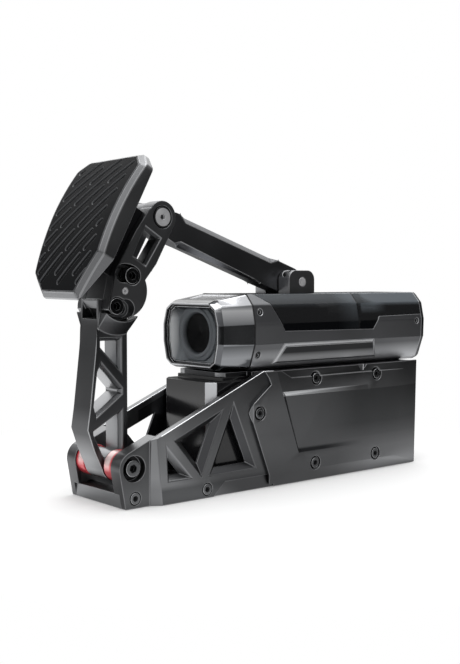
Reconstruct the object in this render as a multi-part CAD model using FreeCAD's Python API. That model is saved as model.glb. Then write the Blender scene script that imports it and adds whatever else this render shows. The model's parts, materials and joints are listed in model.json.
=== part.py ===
import FreeCAD, Part
import math
import os

# Motor-driven pedal for a driving simulator: a foot plate on a truss arm, a push rod,
# and a ball screw in an upper tube that a motor turns through a toothed belt.
# Stations: X runs from the front edge of the base to the rear, Y to the driver's left,
# Z up from the floor. Everything is moved by row_origin_x when it is written.
# Sizes are millimetres.

V = FreeCAD.Vector

# General
row_origin_x = 165.0
running_gap = 0.05
free_gap = 0.4
wall = 3.0

# Side plates
lug_inner = 26.0
lug_outer = 39.0
truss_inner = 37.5
truss_outer = 44.7
top_slope = 22.7
front_lean = 10.2
boss_radius = 13.8
lug_rear_x = 30.0
bevel_start_x = 23.3
bevel_run = 7.0
truss_top_x = 138.1
truss_rear_x = 150.0
web_height = 95.5
web_thickness = 3.5
base_rear_x = 332.0
window_depth = 5.2
arch_start_x = 83.8
arch_height = 11.0
arch_depth = 1.8
front_screw = (9.9, 7.6)
middle_screw = (77.0, 7.0)

# Pivot axle
axle_x = 9.0
axle_z = 31.0
axle_radius = 6.0
axle_recess_radius = 10.3
axle_recess_depth = 6.5
axle_head_radius = 6.5
axle_head_height = 5.0

# Cross bar and base plate
crossbar_front_x = 0.5
crossbar_length = 15.5
crossbar_height = 11.0
crossbar_half = 33.0
base_front_x = 40.0
base_thickness = 8.0
mount_span_x = 220.0
mount_span_y = 50.0
mount_hole_radius = 3.4

# Belt housing under the front of the tube
housing_front_x = 88.5
housing_rear_x = 140.0
housing_gap = 3.5
housing_half = truss_inner - housing_gap
housing_corner = 7.0
housing_top = 92.2
saddle_front_x = 104.0
saddle_bottom = web_height
saddle_top = 99.5
belt_slot_half = 20.5

# Motor and belt
motor_z = 50.0
motor_length = 122.0
motor_side = 66.0
motor_corner = 8.0
motor_bore = 26.0
rotor_radius = 15.0
rotor_gap = 0.6
shaft_radius = 5.5
motor_bearing_radius = 9.0
pulley_radius = 16.0
pulley_front_x = 112.5
pulley_width = 10.0
flange_radius = 19.0
flange_width = 1.0
belt_thickness = 2.0
belt_gap = 0.3

# Motor covers
lid_thickness = 2.8
cover_outer = truss_outer + lid_thickness
cover_rear_x = 338.0
cover_top = 99.6
cover_screw_spots = ((132.0, 64.8), (198.8, 90.7), (277.7, 90.1), (197.6, 15.4), (276.3, 15.4))
cover_recess_radius = 6.2
cover_recess_depth = 2.2
cover_head_radius = 4.5
cover_head_height = 2.0
screw_shank_radius = 2.5
panel_depth = 2.6
panel_bevel = 4.0
cover_bevel_height = 10.5
cover_bevel_depth = 3.4
cover_rear_bevel_x = 305.0
cover_rear_bevel_depth = 5.5

# Upper tube
tube_front_x = 132.0
tube_rear_x = 349.0
tube_end_x = 357.5
lens_front_x = 93.4
bezel_x = 99.0
lens_rear_x = 97.0
lens_gap = 0.4
lens_lip = 1.2
screw_z = 132.0
slot_half = 23.8
slot_front_x = 146.0
slot_rear_x = 280.0
bearing_block_length = 8.0

# Ball screw and carriage
journal_radius = 7.0
thread_radius = 8.0
bearing_outer_radius = 14.0
nut_radius = 14.0
nut_flange_radius = 23.5
nut_flange = 6.0
cell_thickness = 5.4
nut_rear_x = 277.4
rod_radius = 4.0
rod_half_y = 26.0
rod_z = 117.0
carriage_front_x = 147.4
carriage_half = 22.8
carriage_rear_x = 238.0
carriage_bottom = 108.0
channel_floor = 152.0
clevis_front_x = 188.0
clevis_rear_x = 219.8
clevis_top = 186.0
clevis_ear_inner = 8.6
clevis_floor = 157.0
clevis_corner = 8.5
pin_x = 204.4
pin_z = 175.5
pin_radius = 4.0
pin_play = 1.8

# Pedal arm
arm_half = 12.5
disc_inner = arm_half
hub_radius = 13.0
hub_bearing_radius = 9.5
hub_tube_radius = 11.2
hub_bearing_width = 9.0
arm_window_inset = 2.6
arm_window_depth = 4.5
joint_x = 12.2
joint_z = 168.7
disc_radius = 21.3
drum_radius = 20.8
disc_outer = 22.8
cradle_base_radius = 34.8
cradle_room_radius = 23.5
cradle_tip_radius = 24.3
cradle_tip_y = 22.0
cradle_front_x = -6.6
cradle_rear_x = 21.0
fork_inner = 8.7
arm_lean = 31.8
pivot_x = 48.8
pivot_z = 227.7
fork_tip_radius = 13.2
clamp_screw_radius = 14.0
clamp_head_radius = 6.5
clamp_head_height = 8.0
clamp_slot_half = 7.3
clamp_slot_sweep = 37.0
clamp_slot_depth = 8.5
clamp_shank_radius = 4.0
centre_head_radius = 2.6
pivot_bolt_radius = 5.0
pivot_head_radius = 8.3
pivot_head_height = 2.8

# Push rod between the arm and the clevis
rod_half = 8.0
rod_depth = 13.2
rod_chamfer = 5.0
rod_small_chamfer = 1.6
rod_tip_radius = 12.4
rod_eye_radius = rod_depth
bush_radius = 8.0
eye_bearing_radius = 10.0

# Foot plate
plate_lean = 27.8
plate_front = 49.1
plate_depth = 16.0
plate_crown_radius = 227.0
plate_crown_s = 42.0
plate_rim = 3.8
plate_corner = 6.0
tread_thickness = 2.4
bracket_half = 16.0
bracket_low_s = 6.0
bracket_high_s = 66.0

# Red spacers between the plates and the arm
spacer_radius = 12.6
spacer_neck_radius = 10.6
spacer_gap = 0.5


def save(node, shape):
    """Move one named piece to the row's origin and write it."""
    placed = shape.copy()
    placed.translate(V(-row_origin_x, 0, 0))
    placed.exportStep("parts/" + node + ".step")


def xz(point, y=0.0):
    return V(point[0], y, point[1])


def xy(point, z=0.0):
    return V(point[0], point[1], z)


def yz(point, x=0.0):
    return V(x, point[0], point[1])


def loop(points, place, level, radius=0.0):
    """A closed wire through 2-D points, with each corner rounded by radius."""
    count = len(points)
    corners = []
    for i in range(count):
        before, here, after = points[i - 1], points[i], points[(i + 1) % count]
        if radius <= 0:
            corners.append((here, here, here))
            continue
        ux, uz = before[0] - here[0], before[1] - here[1]
        wx, wz = after[0] - here[0], after[1] - here[1]
        lu, lw = math.hypot(ux, uz), math.hypot(wx, wz)
        ux, uz, wx, wz = ux / lu, uz / lu, wx / lw, wz / lw
        half = math.acos(max(-1.0, min(1.0, ux * wx + uz * wz))) / 2
        reach = min(radius / math.tan(half), 0.45 * lu, 0.45 * lw)
        bx, bz = ux + wx, uz + wz
        lb = math.hypot(bx, bz)
        depth = reach / math.cos(half) - reach * math.tan(half)
        middle = (here[0] + bx / lb * depth, here[1] + bz / lb * depth)
        start = (here[0] + ux * reach, here[1] + uz * reach)
        end = (here[0] + wx * reach, here[1] + wz * reach)
        corners.append((start, middle, end))
    edges = []
    for i in range(count):
        start, middle, end = corners[i]
        if radius > 0:
            edges.append(Part.Arc(place(start, level), place(middle, level), place(end, level)).toShape())
        following = corners[(i + 1) % count][0]
        edges.append(Part.LineSegment(place(end, level), place(following, level)).toShape())
    return Part.Wire(edges)


def prism(points, place, low, high, radius=0.0):
    """The solid of an outline, from one level to the other along the third axis."""
    face = Part.Face(loop(points, place, low, radius))
    return face.extrude(place((0, 0), high) - place((0, 0), low))


def loft(wires):
    return Part.makeLoft(wires, True, True)


def inset(points, distance):
    """Move every edge of a convex outline inwards by distance."""
    count = len(points)
    middle_x = sum(p[0] for p in points) / count
    middle_z = sum(p[1] for p in points) / count
    lines = []
    for i in range(count):
        a, b = points[i], points[(i + 1) % count]
        nx, nz = a[1] - b[1], b[0] - a[0]
        length = math.hypot(nx, nz)
        nx, nz = nx / length, nz / length
        if (middle_x - a[0]) * nx + (middle_z - a[1]) * nz < 0:
            nx, nz = -nx, -nz
        lines.append((nx, nz, nx * a[0] + nz * a[1] + distance))
    result = []
    for i in range(count):
        a1, b1, c1 = lines[i - 1]
        a2, b2, c2 = lines[i]
        det = a1 * b2 - a2 * b1
        result.append(((c1 * b2 - c2 * b1) / det, (a1 * c2 - a2 * c1) / det))
    return result


def both(half_points):
    """Mirror a half section, given top to bottom on +Y, into a whole one."""
    return half_points + [(-y, z) for y, z in reversed(half_points)]


def rod_y(x, z, radius, low, high):
    """A cylinder along Y."""
    return Part.makeCylinder(radius, high - low, V(x, low, z), V(0, 1, 0))


def rod_x(y, z, radius, low, high):
    """A cylinder along X."""
    return Part.makeCylinder(radius, high - low, V(low, y, z), V(1, 0, 0))


def hexagon(u, v, radius):
    turns = [math.radians(60 * i + 15) for i in range(6)]
    return [(u + radius * math.cos(a), v + radius * math.sin(a)) for a in turns]


def hex_y(x, z, radius, low, high):
    """A hexagonal prism along Y, for a screw's socket."""
    return prism(hexagon(x, z, radius), xz, low, high)


def block(low, high):
    return Part.makeBox(high[0] - low[0], high[1] - low[1], high[2] - low[2], V(*low))


def mirrored(shape):
    return shape.mirror(V(0, 0, 0), V(0, 1, 0))


def group(shapes):
    return Part.Compound(shapes)


def screw_y(x, z, seat, head_radius, head_height, shank_radius, shank_end):
    """A socket screw along Y whose head sits outside the seat plane on +Y."""
    body = rod_y(x, z, head_radius, seat, seat + head_height)
    body = body.fuse(rod_y(x, z, shank_radius, shank_end, seat + head_height / 2))
    socket = hex_y(x, z, head_radius * 0.5, seat + head_height * 0.45, seat + head_height + 1)
    return body.cut(socket).removeSplitter()


def top_line(x):
    """Height of the sloping top edge of a side plate, tangent to the axle boss."""
    slope = math.radians(top_slope)
    return axle_z + boss_radius / math.cos(slope) + (x - axle_x) * math.tan(slope)


def lug_outline_wire(level):
    """Front lug: leaning front edge, round boss about the axle, sloping top."""
    slope = math.radians(top_slope)
    lean = math.radians(front_lean)
    top_tangent = (axle_x - boss_radius * math.sin(slope), axle_z + boss_radius * math.cos(slope))
    front_tangent = (axle_x - boss_radius * math.cos(lean), axle_z - boss_radius * math.sin(lean))
    turn = (math.pi / 2 + slope + math.pi + lean) / 2
    middle = (axle_x + boss_radius * math.cos(turn), axle_z + boss_radius * math.sin(turn))
    foot_x = front_tangent[0] + front_tangent[1] * math.tan(lean)
    corner = (foot_x, 0.0)
    rear_top = (lug_rear_x, top_line(lug_rear_x))
    rear_foot = (lug_rear_x, 0.0)
    edges = [
        Part.LineSegment(xz(corner, level), xz(front_tangent, level)).toShape(),
        Part.Arc(xz(front_tangent, level), xz(middle, level), xz(top_tangent, level)).toShape(),
        Part.LineSegment(xz(top_tangent, level), xz(rear_top, level)).toShape(),
        Part.LineSegment(xz(rear_top, level), xz(rear_foot, level)).toShape(),
        Part.LineSegment(xz(rear_foot, level), xz(corner, level)).toShape(),
    ]
    return Part.Wire(edges)


# Window outlines of the side plate's truss at its outer face, and how far each bevel runs in
plate_windows = (
    (((35.1, 48.1), (37.1, 18.1), (61.2, 18.2)), 4.2),
    (((43.4, 50.4), (93.9, 71.0), (70.8, 18.1)), 5.6),
    (((104.9, 76.5), (78.7, 17.8), (129.7, 18.4)), 5.6),
)


def bevelled_window(points, run, place, outer, depth, far):
    """Cutter for a window: a bevel from the outer face, then a straight wall."""
    inner = inset(list(points), run)
    sign = 1 if outer > far else -1
    outside = outer + sign * 0.01
    mouth = inset(list(points), -0.01 * run / depth)
    bevel = loft([loop(mouth, place, outside), loop(inner, place, outer - sign * depth)])
    throat = prism(inner, place, outer - sign * (depth - 0.5), far - sign)
    return bevel.fuse(throat)


def make_side_plate():
    """The left plate; the right one is its mirror image."""
    lug = Part.Face(lug_outline_wire(lug_inner)).extrude(V(0, lug_outer - lug_inner, 0))
    truss = prism(
        [(bevel_start_x, 0), (bevel_start_x, top_line(bevel_start_x)), (truss_top_x, top_line(truss_top_x)),
         (truss_rear_x, top_line(truss_top_x)), (truss_rear_x, 0)],
        xz, truss_inner, truss_outer)
    jog = loft([
        loop([(bevel_start_x - 3, lug_outer), (bevel_start_x, lug_outer),
              (bevel_start_x + bevel_run + 1.2, truss_outer), (bevel_start_x + bevel_run + 1.2, truss_outer + 2),
              (bevel_start_x - 3, truss_outer + 2)], xy, -1),
        loop([(bevel_start_x - 5, lug_outer), (bevel_start_x - 2, lug_outer),
              (bevel_start_x + bevel_run - 3.8, truss_outer), (bevel_start_x + bevel_run - 3.8, truss_outer + 2),
              (bevel_start_x - 5, truss_outer + 2)], xy, top_line(lug_rear_x))])
    web = block((truss_rear_x - 1, truss_inner, 0), (base_rear_x, truss_inner + web_thickness, web_height))
    plate = lug.fuse(truss.cut(jog)).fuse(web)
    for points, run in plate_windows:
        plate = plate.cut(bevelled_window(points, run, xz, truss_outer, window_depth, truss_inner))
    arch = prism(
        [(arch_start_x, -1), (arch_start_x, 0), (arch_start_x + arch_height + 1, arch_height),
         (truss_rear_x + 1, arch_height), (truss_rear_x + 1, -1)],
        xz, truss_outer - arch_depth, truss_outer + 1)
    plate = plate.cut(arch)
    plate = plate.cut(rod_y(axle_x, axle_z, axle_radius, lug_inner - 1, lug_outer + 1))
    plate = plate.cut(rod_y(axle_x, axle_z, axle_recess_radius, lug_outer - axle_recess_depth, lug_outer + 1))
    notch = block((-8, lug_inner - 1, -1), (crossbar_front_x + crossbar_length, crossbar_half, crossbar_height))
    plate = plate.cut(notch)
    for (x, z), outer in ((front_screw, lug_outer), (middle_screw, truss_outer)):
        plate = plate.cut(rod_y(x, z, screw_shank_radius, lug_inner - 1, outer + 1))
        plate = plate.cut(rod_y(x, z, cover_head_radius + 0.7, outer - cover_head_height, outer + 1))
    for x, z in cover_screw_spots:
        plate = plate.cut(rod_y(x, z, screw_shank_radius, truss_inner - 1, truss_outer + 1))
    return plate.removeSplitter()


def make_crossbar():
    bar = block((crossbar_front_x, -crossbar_half, 0),
                (crossbar_front_x + crossbar_length, crossbar_half, crossbar_height))
    x, z = front_screw
    return bar.cut(rod_y(x, z, screw_shank_radius, -crossbar_half - 1, crossbar_half + 1))


def make_base_plate():
    plate = block((base_front_x, -truss_inner, 0), (base_rear_x, truss_inner, base_thickness))
    for sx in (-1, 1):
        for sy in (-1, 1):
            centre = V(row_origin_x + sx * mount_span_x / 2, sy * mount_span_y / 2, -1)
            plate = plate.cut(Part.makeCylinder(mount_hole_radius, base_thickness + 2, centre))
    x, z = middle_screw
    return plate.cut(rod_y(x, z, screw_shank_radius, -truss_inner - 1, truss_inner + 1))


def make_axle():
    return rod_y(axle_x, axle_z, axle_radius, -axle_seat(), axle_seat())


def axle_seat():
    return lug_outer - axle_recess_depth


def make_axle_bolts():
    bolts = []
    for sign in (1, -1):
        head = rod_y(axle_x, axle_z, axle_head_radius, axle_seat(), axle_seat() + axle_head_height)
        socket = hex_y(axle_x, axle_z, axle_head_radius * 0.5, axle_seat() + 2, lug_outer + 1)
        head = head.cut(socket)
        bolts.append(head if sign > 0 else mirrored(head))
    return group(bolts)


def make_spacer():
    """Red ring between a side plate and the arm's hub, with a bevelled inner rim."""
    start = arm_half + spacer_gap
    profile = [(axle_radius, start), (spacer_neck_radius, start), (spacer_radius, start + 2.0),
               (spacer_radius, lug_inner), (axle_radius, lug_inner)]
    points = [V(axle_x + r, y, axle_z) for r, y in profile]
    face = Part.Face(Part.makePolygon(points + [points[0]]))
    return face.revolve(V(axle_x, 0, axle_z), V(0, 1, 0), 360)


def make_frame_screws():
    screws = []
    for (x, z), outer, end in ((front_screw, lug_outer, crossbar_half - 8), (middle_screw, truss_outer, truss_inner - 8)):
        seat = outer - cover_head_height
        one = screw_y(x, z, seat, cover_head_radius, cover_head_height, screw_shank_radius, end)
        screws += [one, mirrored(one)]
    return group(screws)


def belt_slot():
    return block((pulley_front_x - 3, -belt_slot_half, housing_top - 8),
                 (pulley_front_x + pulley_width + 3, belt_slot_half, saddle_top + 8))


def make_belt_housing():
    """Black box with bevelled front corners that holds the motor pulley."""
    c = housing_corner
    outline = [(housing_front_x, housing_half - c), (housing_front_x + c, housing_half),
               (housing_rear_x, housing_half), (housing_rear_x, -housing_half),
               (housing_front_x + c, -housing_half), (housing_front_x, -housing_half + c)]
    body = prism(outline, xy, base_thickness, housing_top)
    riser = block((saddle_front_x, -housing_half + 3, housing_top - 1), (housing_rear_x, housing_half - 3, saddle_bottom))
    body = body.fuse(riser)
    cavity = prism([(housing_front_x + wall, housing_half - c), (housing_front_x + c, housing_half - wall),
                    (housing_rear_x + 1, housing_half - wall), (housing_rear_x + 1, -housing_half + wall),
                    (housing_front_x + c, -housing_half + wall), (housing_front_x + wall, -housing_half + c)],
                   xy, base_thickness + wall, housing_top - wall)
    chin = prism([(housing_front_x - 1, 7), (housing_front_x - 1, 62), (housing_front_x + 4, 7)], xz,
                 -housing_half - 1, housing_half + 1)
    return body.cut(cavity).cut(belt_slot()).cut(chin).removeSplitter()


def make_saddle_plate():
    """Plate that carries the tube on the side plates and the belt housing."""
    front = prism([(saddle_front_x, 22), (saddle_front_x + 3, 31), (tube_front_x, 31), (tube_front_x, -31),
                   (saddle_front_x + 3, -31), (saddle_front_x, -22)], xy, saddle_bottom, saddle_top)
    rear = block((tube_front_x - 1, -truss_inner - web_thickness, saddle_bottom),
                 (base_rear_x, truss_inner + web_thickness, saddle_top))
    trim = block((tube_front_x - 2, -60, saddle_bottom - 1), (truss_rear_x + free_gap, -truss_inner, saddle_top + 1))
    rear = rear.cut(trim).cut(mirrored(trim))
    return front.fuse(rear).cut(belt_slot()).removeSplitter()


def motor_front_x():
    return housing_rear_x


def make_motor_frame():
    half = motor_side / 2
    low, high = motor_z - half, motor_z + half
    outline = [(half, high), (half, low), (-half, low), (-half, high)]
    front = motor_front_x()
    body = prism(outline, yz, front, front + motor_length, motor_corner)
    flange = block((front, -housing_half, base_thickness), (front + 5, housing_half, saddle_bottom))
    foot = block((front + motor_length - 20, -20, base_thickness), (front + motor_length, 20, low + 1))
    body = body.fuse(flange).fuse(foot)
    body = body.cut(rod_x(0, motor_z, motor_bore, front + 8, front + motor_length + 1))
    return body.cut(rod_x(0, motor_z, motor_bearing_radius, front - 1, front + 9)).removeSplitter()


def make_motor_end_bell():
    half = motor_side / 2
    low, high = motor_z - half, motor_z + half
    start = motor_front_x() + motor_length
    bell = prism([(half, high), (half, low), (-half, low), (-half, high)], yz, start, start + 9, motor_corner)
    return bell.cut(rod_x(0, motor_z, motor_bearing_radius, start - 1, start + 7))


def make_motor_bearings():
    front = motor_front_x()
    rear = front + motor_length
    rings = []
    for low, high in ((front, front + 8), (rear, rear + 7)):
        ring = rod_x(0, motor_z, motor_bearing_radius, low, high)
        rings.append(ring.cut(rod_x(0, motor_z, shaft_radius + running_gap, low - 1, high + 1)))
    return group(rings)


def make_motor_rotor():
    front = motor_front_x()
    shaft = rod_x(0, motor_z, shaft_radius, pulley_front_x - 2, front + motor_length + 6)
    return shaft.fuse(rod_x(0, motor_z, rotor_radius, front + 20, front + motor_length - 12))


def make_motor_stator():
    front = motor_front_x() + 16
    rear = motor_front_x() + motor_length - 8
    ring = rod_x(0, motor_z, motor_bore, front, rear)
    return ring.cut(rod_x(0, motor_z, rotor_radius + rotor_gap, front - 1, rear + 1))


def make_pulley(z, bore):
    """Toothed pulley with a thin flange on each side."""
    rear = pulley_front_x + pulley_width
    body = rod_x(0, z, pulley_radius, pulley_front_x, rear)
    body = body.fuse(rod_x(0, z, flange_radius, pulley_front_x - flange_width, pulley_front_x))
    body = body.fuse(rod_x(0, z, flange_radius, rear, rear + flange_width))
    return body.cut(rod_x(0, z, bore, pulley_front_x - 5, rear + 5)).removeSplitter()


def stadium(radius, low, high):
    """Outline round both pulleys, as a solid between two stations."""
    slab = block((low, -radius, motor_z), (high, radius, screw_z))
    return slab.fuse(rod_x(0, motor_z, radius, low, high)).fuse(rod_x(0, screw_z, radius, low, high))


def make_belt():
    low = pulley_front_x + belt_gap
    high = pulley_front_x + pulley_width - belt_gap
    inner = pulley_radius + belt_gap
    return stadium(inner + belt_thickness, low, high).cut(stadium(inner, low - 1, high + 1)).removeSplitter()


def make_rear_panel():
    panel = block((base_rear_x, -truss_inner - web_thickness + 0.3, 1.0),
                  (base_rear_x + 4, truss_inner + web_thickness - 0.3, saddle_bottom))
    panel = panel.cut(rod_x(-18, 30, 7.5, base_rear_x - 1, base_rear_x + 5))
    for y in (4, 22):
        panel = panel.cut(block((base_rear_x - 1, y - 6, 24.5), (base_rear_x + 5, y + 6, 35.5)))
    return panel


def make_power_socket():
    body = rod_x(-18, 30, 7.5, base_rear_x - 9, base_rear_x + 4)
    body = body.fuse(rod_x(-18, 30, 9.5, base_rear_x + 4, base_rear_x + 5.5))
    return body.cut(rod_x(-18, 30, 5.0, base_rear_x - 4, base_rear_x + 7)).removeSplitter()


def make_data_sockets():
    sockets = []
    for y in (4, 22):
        body = block((base_rear_x - 9, y - 6, 24.5), (base_rear_x + 4.3, y + 6, 35.5))
        sockets.append(body.cut(block((base_rear_x - 5, y - 4.5, 26), (base_rear_x + 5, y + 4.5, 34))))
    return group(sockets)


board_x = base_rear_x - 16.0


def make_controller_board():
    return block((board_x, -33, 13), (board_x + 1.6, 33, 86))


def make_board_standoffs():
    posts = []
    for y in (-29, 29):
        for z in (17, 82):
            posts.append(rod_x(y, z, 3.0, board_x + 1.6, base_rear_x))
    return group(posts)


# Motor cover outline, from the nose to the rear
cover_outline = (
    (121.0, 65.7), (124.8, 73.2), (144.8, 88.3), (142.0, 94.0), (137.5, cover_top),
    (cover_rear_x + 2.0, cover_top), (cover_rear_x - 1.0, 0.0), (145.0, 0.0), (142.7, 10.5),
)
panel_outline = ((157.8, 80.9), (265.0, 80.9), (278.0, 26.0), (180.0, 26.0), (176.0, 29.0))


def wedge_cut(points, place, low, high):
    return prism(points, place, low, high)


def make_motor_cover():
    """Left cover: a thick lid over the motor bay, laid on the web and the truss."""
    outer = prism(list(cover_outline), xz, truss_outer, cover_outer)
    web_outer = truss_inner + web_thickness
    inner = prism([(truss_rear_x, 0), (truss_rear_x, cover_top), (cover_rear_x + 2.0, cover_top),
                   (cover_rear_x - 1.0, 0)], xz, web_outer, truss_outer)
    cover = outer.fuse(inner)
    far = cover_outer + 5
    deep = cover_outer - cover_bevel_depth
    bottom_bevel = prism([(deep, -1), (deep, 0), (cover_outer, cover_bevel_height), (far, cover_bevel_height), (far, -1)],
                         yz, tube_front_x - 30, cover_rear_x + 10)
    rear_bevel = prism([(cover_rear_bevel_x, cover_outer), (cover_rear_bevel_x, far), (cover_rear_x + 10, far),
                        (cover_rear_x + 10, cover_outer - cover_rear_bevel_depth)], xy, -1, cover_top + 1)
    corner = loft([loop([(cover_rear_bevel_x + 5, 0), (cover_rear_x + 12, 26), (cover_rear_x + 12, 0)], xz, far),
                   loop([(cover_rear_x - 1, 0), (cover_rear_x + 12, 13), (cover_rear_x + 12, 0)], xz, deep - 1)])
    relief = prism([(156.0, cover_top + 1), (156.0, cover_top), (168.6, 92.7), (cover_rear_x + 10, 92.7),
                    (cover_rear_x + 10, cover_top + 1)], xz, cover_outer - 1.6, far)
    notch = prism([(253.4, cover_top + 1), (265.6, cover_top + 1), (259.5, 92.4)], xz, cover_outer - 6, far)
    notch = notch.common(prism([(cover_outer, 91.0), (cover_outer - 6, cover_top + 1), (far, cover_top + 1), (far, 91.0)],
                               yz, 250, 270))
    nose_edge = prism([(119.0, truss_outer), (119.0, far), (128.5, far), (123.5, cover_outer - 1.4)], xy, 55, 78)
    cover = cover.cut(bottom_bevel).cut(rear_bevel).cut(corner).cut(relief).cut(notch).cut(nose_edge)
    floor = inset(list(panel_outline), panel_bevel)
    dish = loft([loop(list(panel_outline), xz, cover_outer + 0.01), loop(floor, xz, cover_outer - panel_depth)])
    fade = prism([(150, cover_outer - panel_depth), (150, far), (285, far), (285, cover_outer + 0.4)], xy, 0, 95)
    cover = cover.cut(dish.common(fade))
    for x, z in cover_screw_spots:
        cover = cover.cut(rod_y(x, z, cover_recess_radius, cover_outer - cover_recess_depth, far))
        cover = cover.cut(rod_y(x, z, screw_shank_radius, web_outer - 1, far))
    return cover.removeSplitter()


def make_cover_screws():
    screws = []
    for x, z in cover_screw_spots:
        seat = cover_outer - cover_recess_depth
        one = screw_y(x, z, seat, cover_head_radius, cover_head_height, screw_shank_radius, truss_inner)
        screws += [one, mirrored(one)]
    return group(screws)


# Half sections of the upper body, top to bottom: lens front, bezel and tube
lens_half = [(26.0, 157.5), (33.5, 152.5), (37.7, 139.0), (37.5, 124.0), (33.5, 108.0), (27.0, 103.8)]
bezel_half = [(26.5, 160.0), (35.8, 155.0), (39.3, 139.0), (39.2, 123.5), (34.8, 105.5), (27.5, 101.5)]
tube_half = [(29.1, 165.2), (37.5, 155.9), (41.0, 139.5), (40.5, 122.3), (33.5, 102.4), (27.5, saddle_top)]
cap_corner = 4.0
tube_corner = 3.0

# Raised ridge on the tube's lower side: station and height up the face
ridge_outline = ((156.5, 2.2), (166.6, 20.9), (280.8, 20.9), (289.0, 2.2))
ridge_bevel = 2.2
ridge_height = 1.5


def section(half_points, x, radius, shrink=0.0):
    points = both(half_points)
    if shrink != 0:
        points = inset(points, shrink)
    return loop(points, yz, x, radius)


def tube_solid(x0, x1, shrink=0.0):
    radius = 0.0 if shrink > 0 else tube_corner
    return prism(inset(both(tube_half), shrink), yz, x0, x1, radius)


def cover_region():
    """The part of the tube above the edge of the smoked cover, seen from the side."""
    edge = [(138.7, saddle_top + 90), (138.7, 165.7), (152.6, 157.1), (166.9, 133.1), (280.0, 131.6),
            (288.3, 143.3), (tube_rear_x + 1, 144.2), (tube_rear_x + 1, saddle_top + 90)]
    return prism(edge, xz, -60, 60)


def slot_cutter():
    return block((slot_front_x, -slot_half, screw_z), (slot_rear_x, slot_half, 200))


def ridge_place(point, level=0.0):
    """Put a point (station, height up the slanted side) on the tube's lower side face."""
    (y1, z1), (y0, z0) = tube_half[3], tube_half[4]
    length = math.hypot(y1 - y0, z1 - z0)
    ty, tz = (y1 - y0) / length, (z1 - z0) / length
    x, up = point
    return V(x, y0 + ty * up + tz * level, z0 + tz * up - ty * level)


def make_tube_shell():
    shell = tube_solid(tube_front_x, tube_rear_x)
    shell = shell.cut(tube_solid(tube_front_x - 1, tube_rear_x + 1, wall))
    shell = shell.cut(cover_region())
    pad = loft([loop(list(ridge_outline), ridge_place, -0.8), loop(list(ridge_outline), ridge_place, 0.1),
                loop(inset(list(ridge_outline), ridge_bevel), ridge_place, ridge_height)])
    shell = shell.fuse(pad).fuse(mirrored(pad))
    for x, z in tube_screw_spots:
        shell = shell.cut(tube_screw_hole(x, z))
        shell = shell.cut(mirrored(tube_screw_hole(x, z)))
    return shell.removeSplitter()


tube_screw_spots = ((139.2, 150.1), (138.3, 113.2), (342.0, 137.6))
tube_screw_radius = 2.6
tube_screw_sink = 1.6


def tube_side_y(z):
    """Half width of the tube's flat side at a height."""
    for (y0, z0), (y1, z1) in zip(tube_half, tube_half[1:]):
        if z1 <= z <= z0:
            return y0 + (y1 - y0) * (z0 - z) / (z0 - z1)
    return tube_half[-1][0]


def tube_screw_hole(x, z):
    side = tube_side_y(z)
    return rod_y(x, z, tube_screw_radius + 0.4, side - tube_screw_sink, side + 4)


def make_tube_screws():
    screws = []
    for x, z in tube_screw_spots:
        side = tube_side_y(z)
        head = rod_y(x, z, tube_screw_radius, side - tube_screw_sink, side - tube_screw_sink + 1.3)
        head = head.cut(hex_y(x, z, tube_screw_radius * 0.5, side - 1, side + 1))
        screws += [head, mirrored(head)]
    return group(screws)


def make_top_cover():
    cover = tube_solid(tube_front_x, tube_rear_x).cut(tube_solid(tube_front_x - 1, tube_rear_x + 1, wall))
    return cover.common(cover_region()).cut(slot_cutter()).removeSplitter()


def make_rear_cap():
    start = section(tube_half, tube_rear_x, tube_corner)
    middle = section(tube_half, tube_rear_x + 2.5, tube_corner)
    bevel = section(tube_half, tube_rear_x + 5.5, tube_corner, 1.5)
    end = section(tube_half, tube_end_x, tube_corner, 6.0)
    return loft([start, middle]).fuse(loft([middle, bevel])).fuse(loft([bevel, end])).removeSplitter()


def make_front_cap():
    cap = loft([section(bezel_half, bezel_x, cap_corner), section(tube_half, tube_front_x, cap_corner)])
    cap = cap.fuse(loft([section(lens_half, lens_front_x, cap_corner), section(bezel_half, bezel_x, cap_corner)]))
    inner = loft([section(bezel_half, bezel_x - 0.01, 0.0, wall),
                  section(tube_half, tube_front_x + 0.01, 0.0, wall)])
    mouth = prism(inset(both(lens_half), lens_lip), yz, lens_front_x - 1, lens_rear_x)
    throat = prism(inset(both(lens_half), lens_lip + 2.4), yz, lens_rear_x - 1, bezel_x + 0.5)
    inner = inner.fuse(mouth).fuse(throat)
    recess = loft([loop([(106, 18), (126, 24), (126, -24), (106, -18)], xy, 170),
                   loop([(107.5, 16), (124.5, 21.5), (124.5, -21.5), (107.5, -16)], xy, 158.8)])
    rake = prism([(100, 159.6), (100, 175), (135, 175), (135, 165.0)], xz, -40, 40)
    return cap.cut(inner).cut(belt_slot()).cut(recess.common(rake)).removeSplitter()


def make_front_lens():
    return prism(inset(both(lens_half), lens_lip + lens_gap), yz, lens_front_x + 0.6, lens_rear_x)


def cap_inner_at(x0, x1):
    """The inside of the front cap between two stations."""
    inner = loft([section(bezel_half, bezel_x, 0.0, wall), section(tube_half, tube_front_x, 0.0, wall)])
    return inner.common(block((x0, -60, 80), (x1, 60, 190)))


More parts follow.
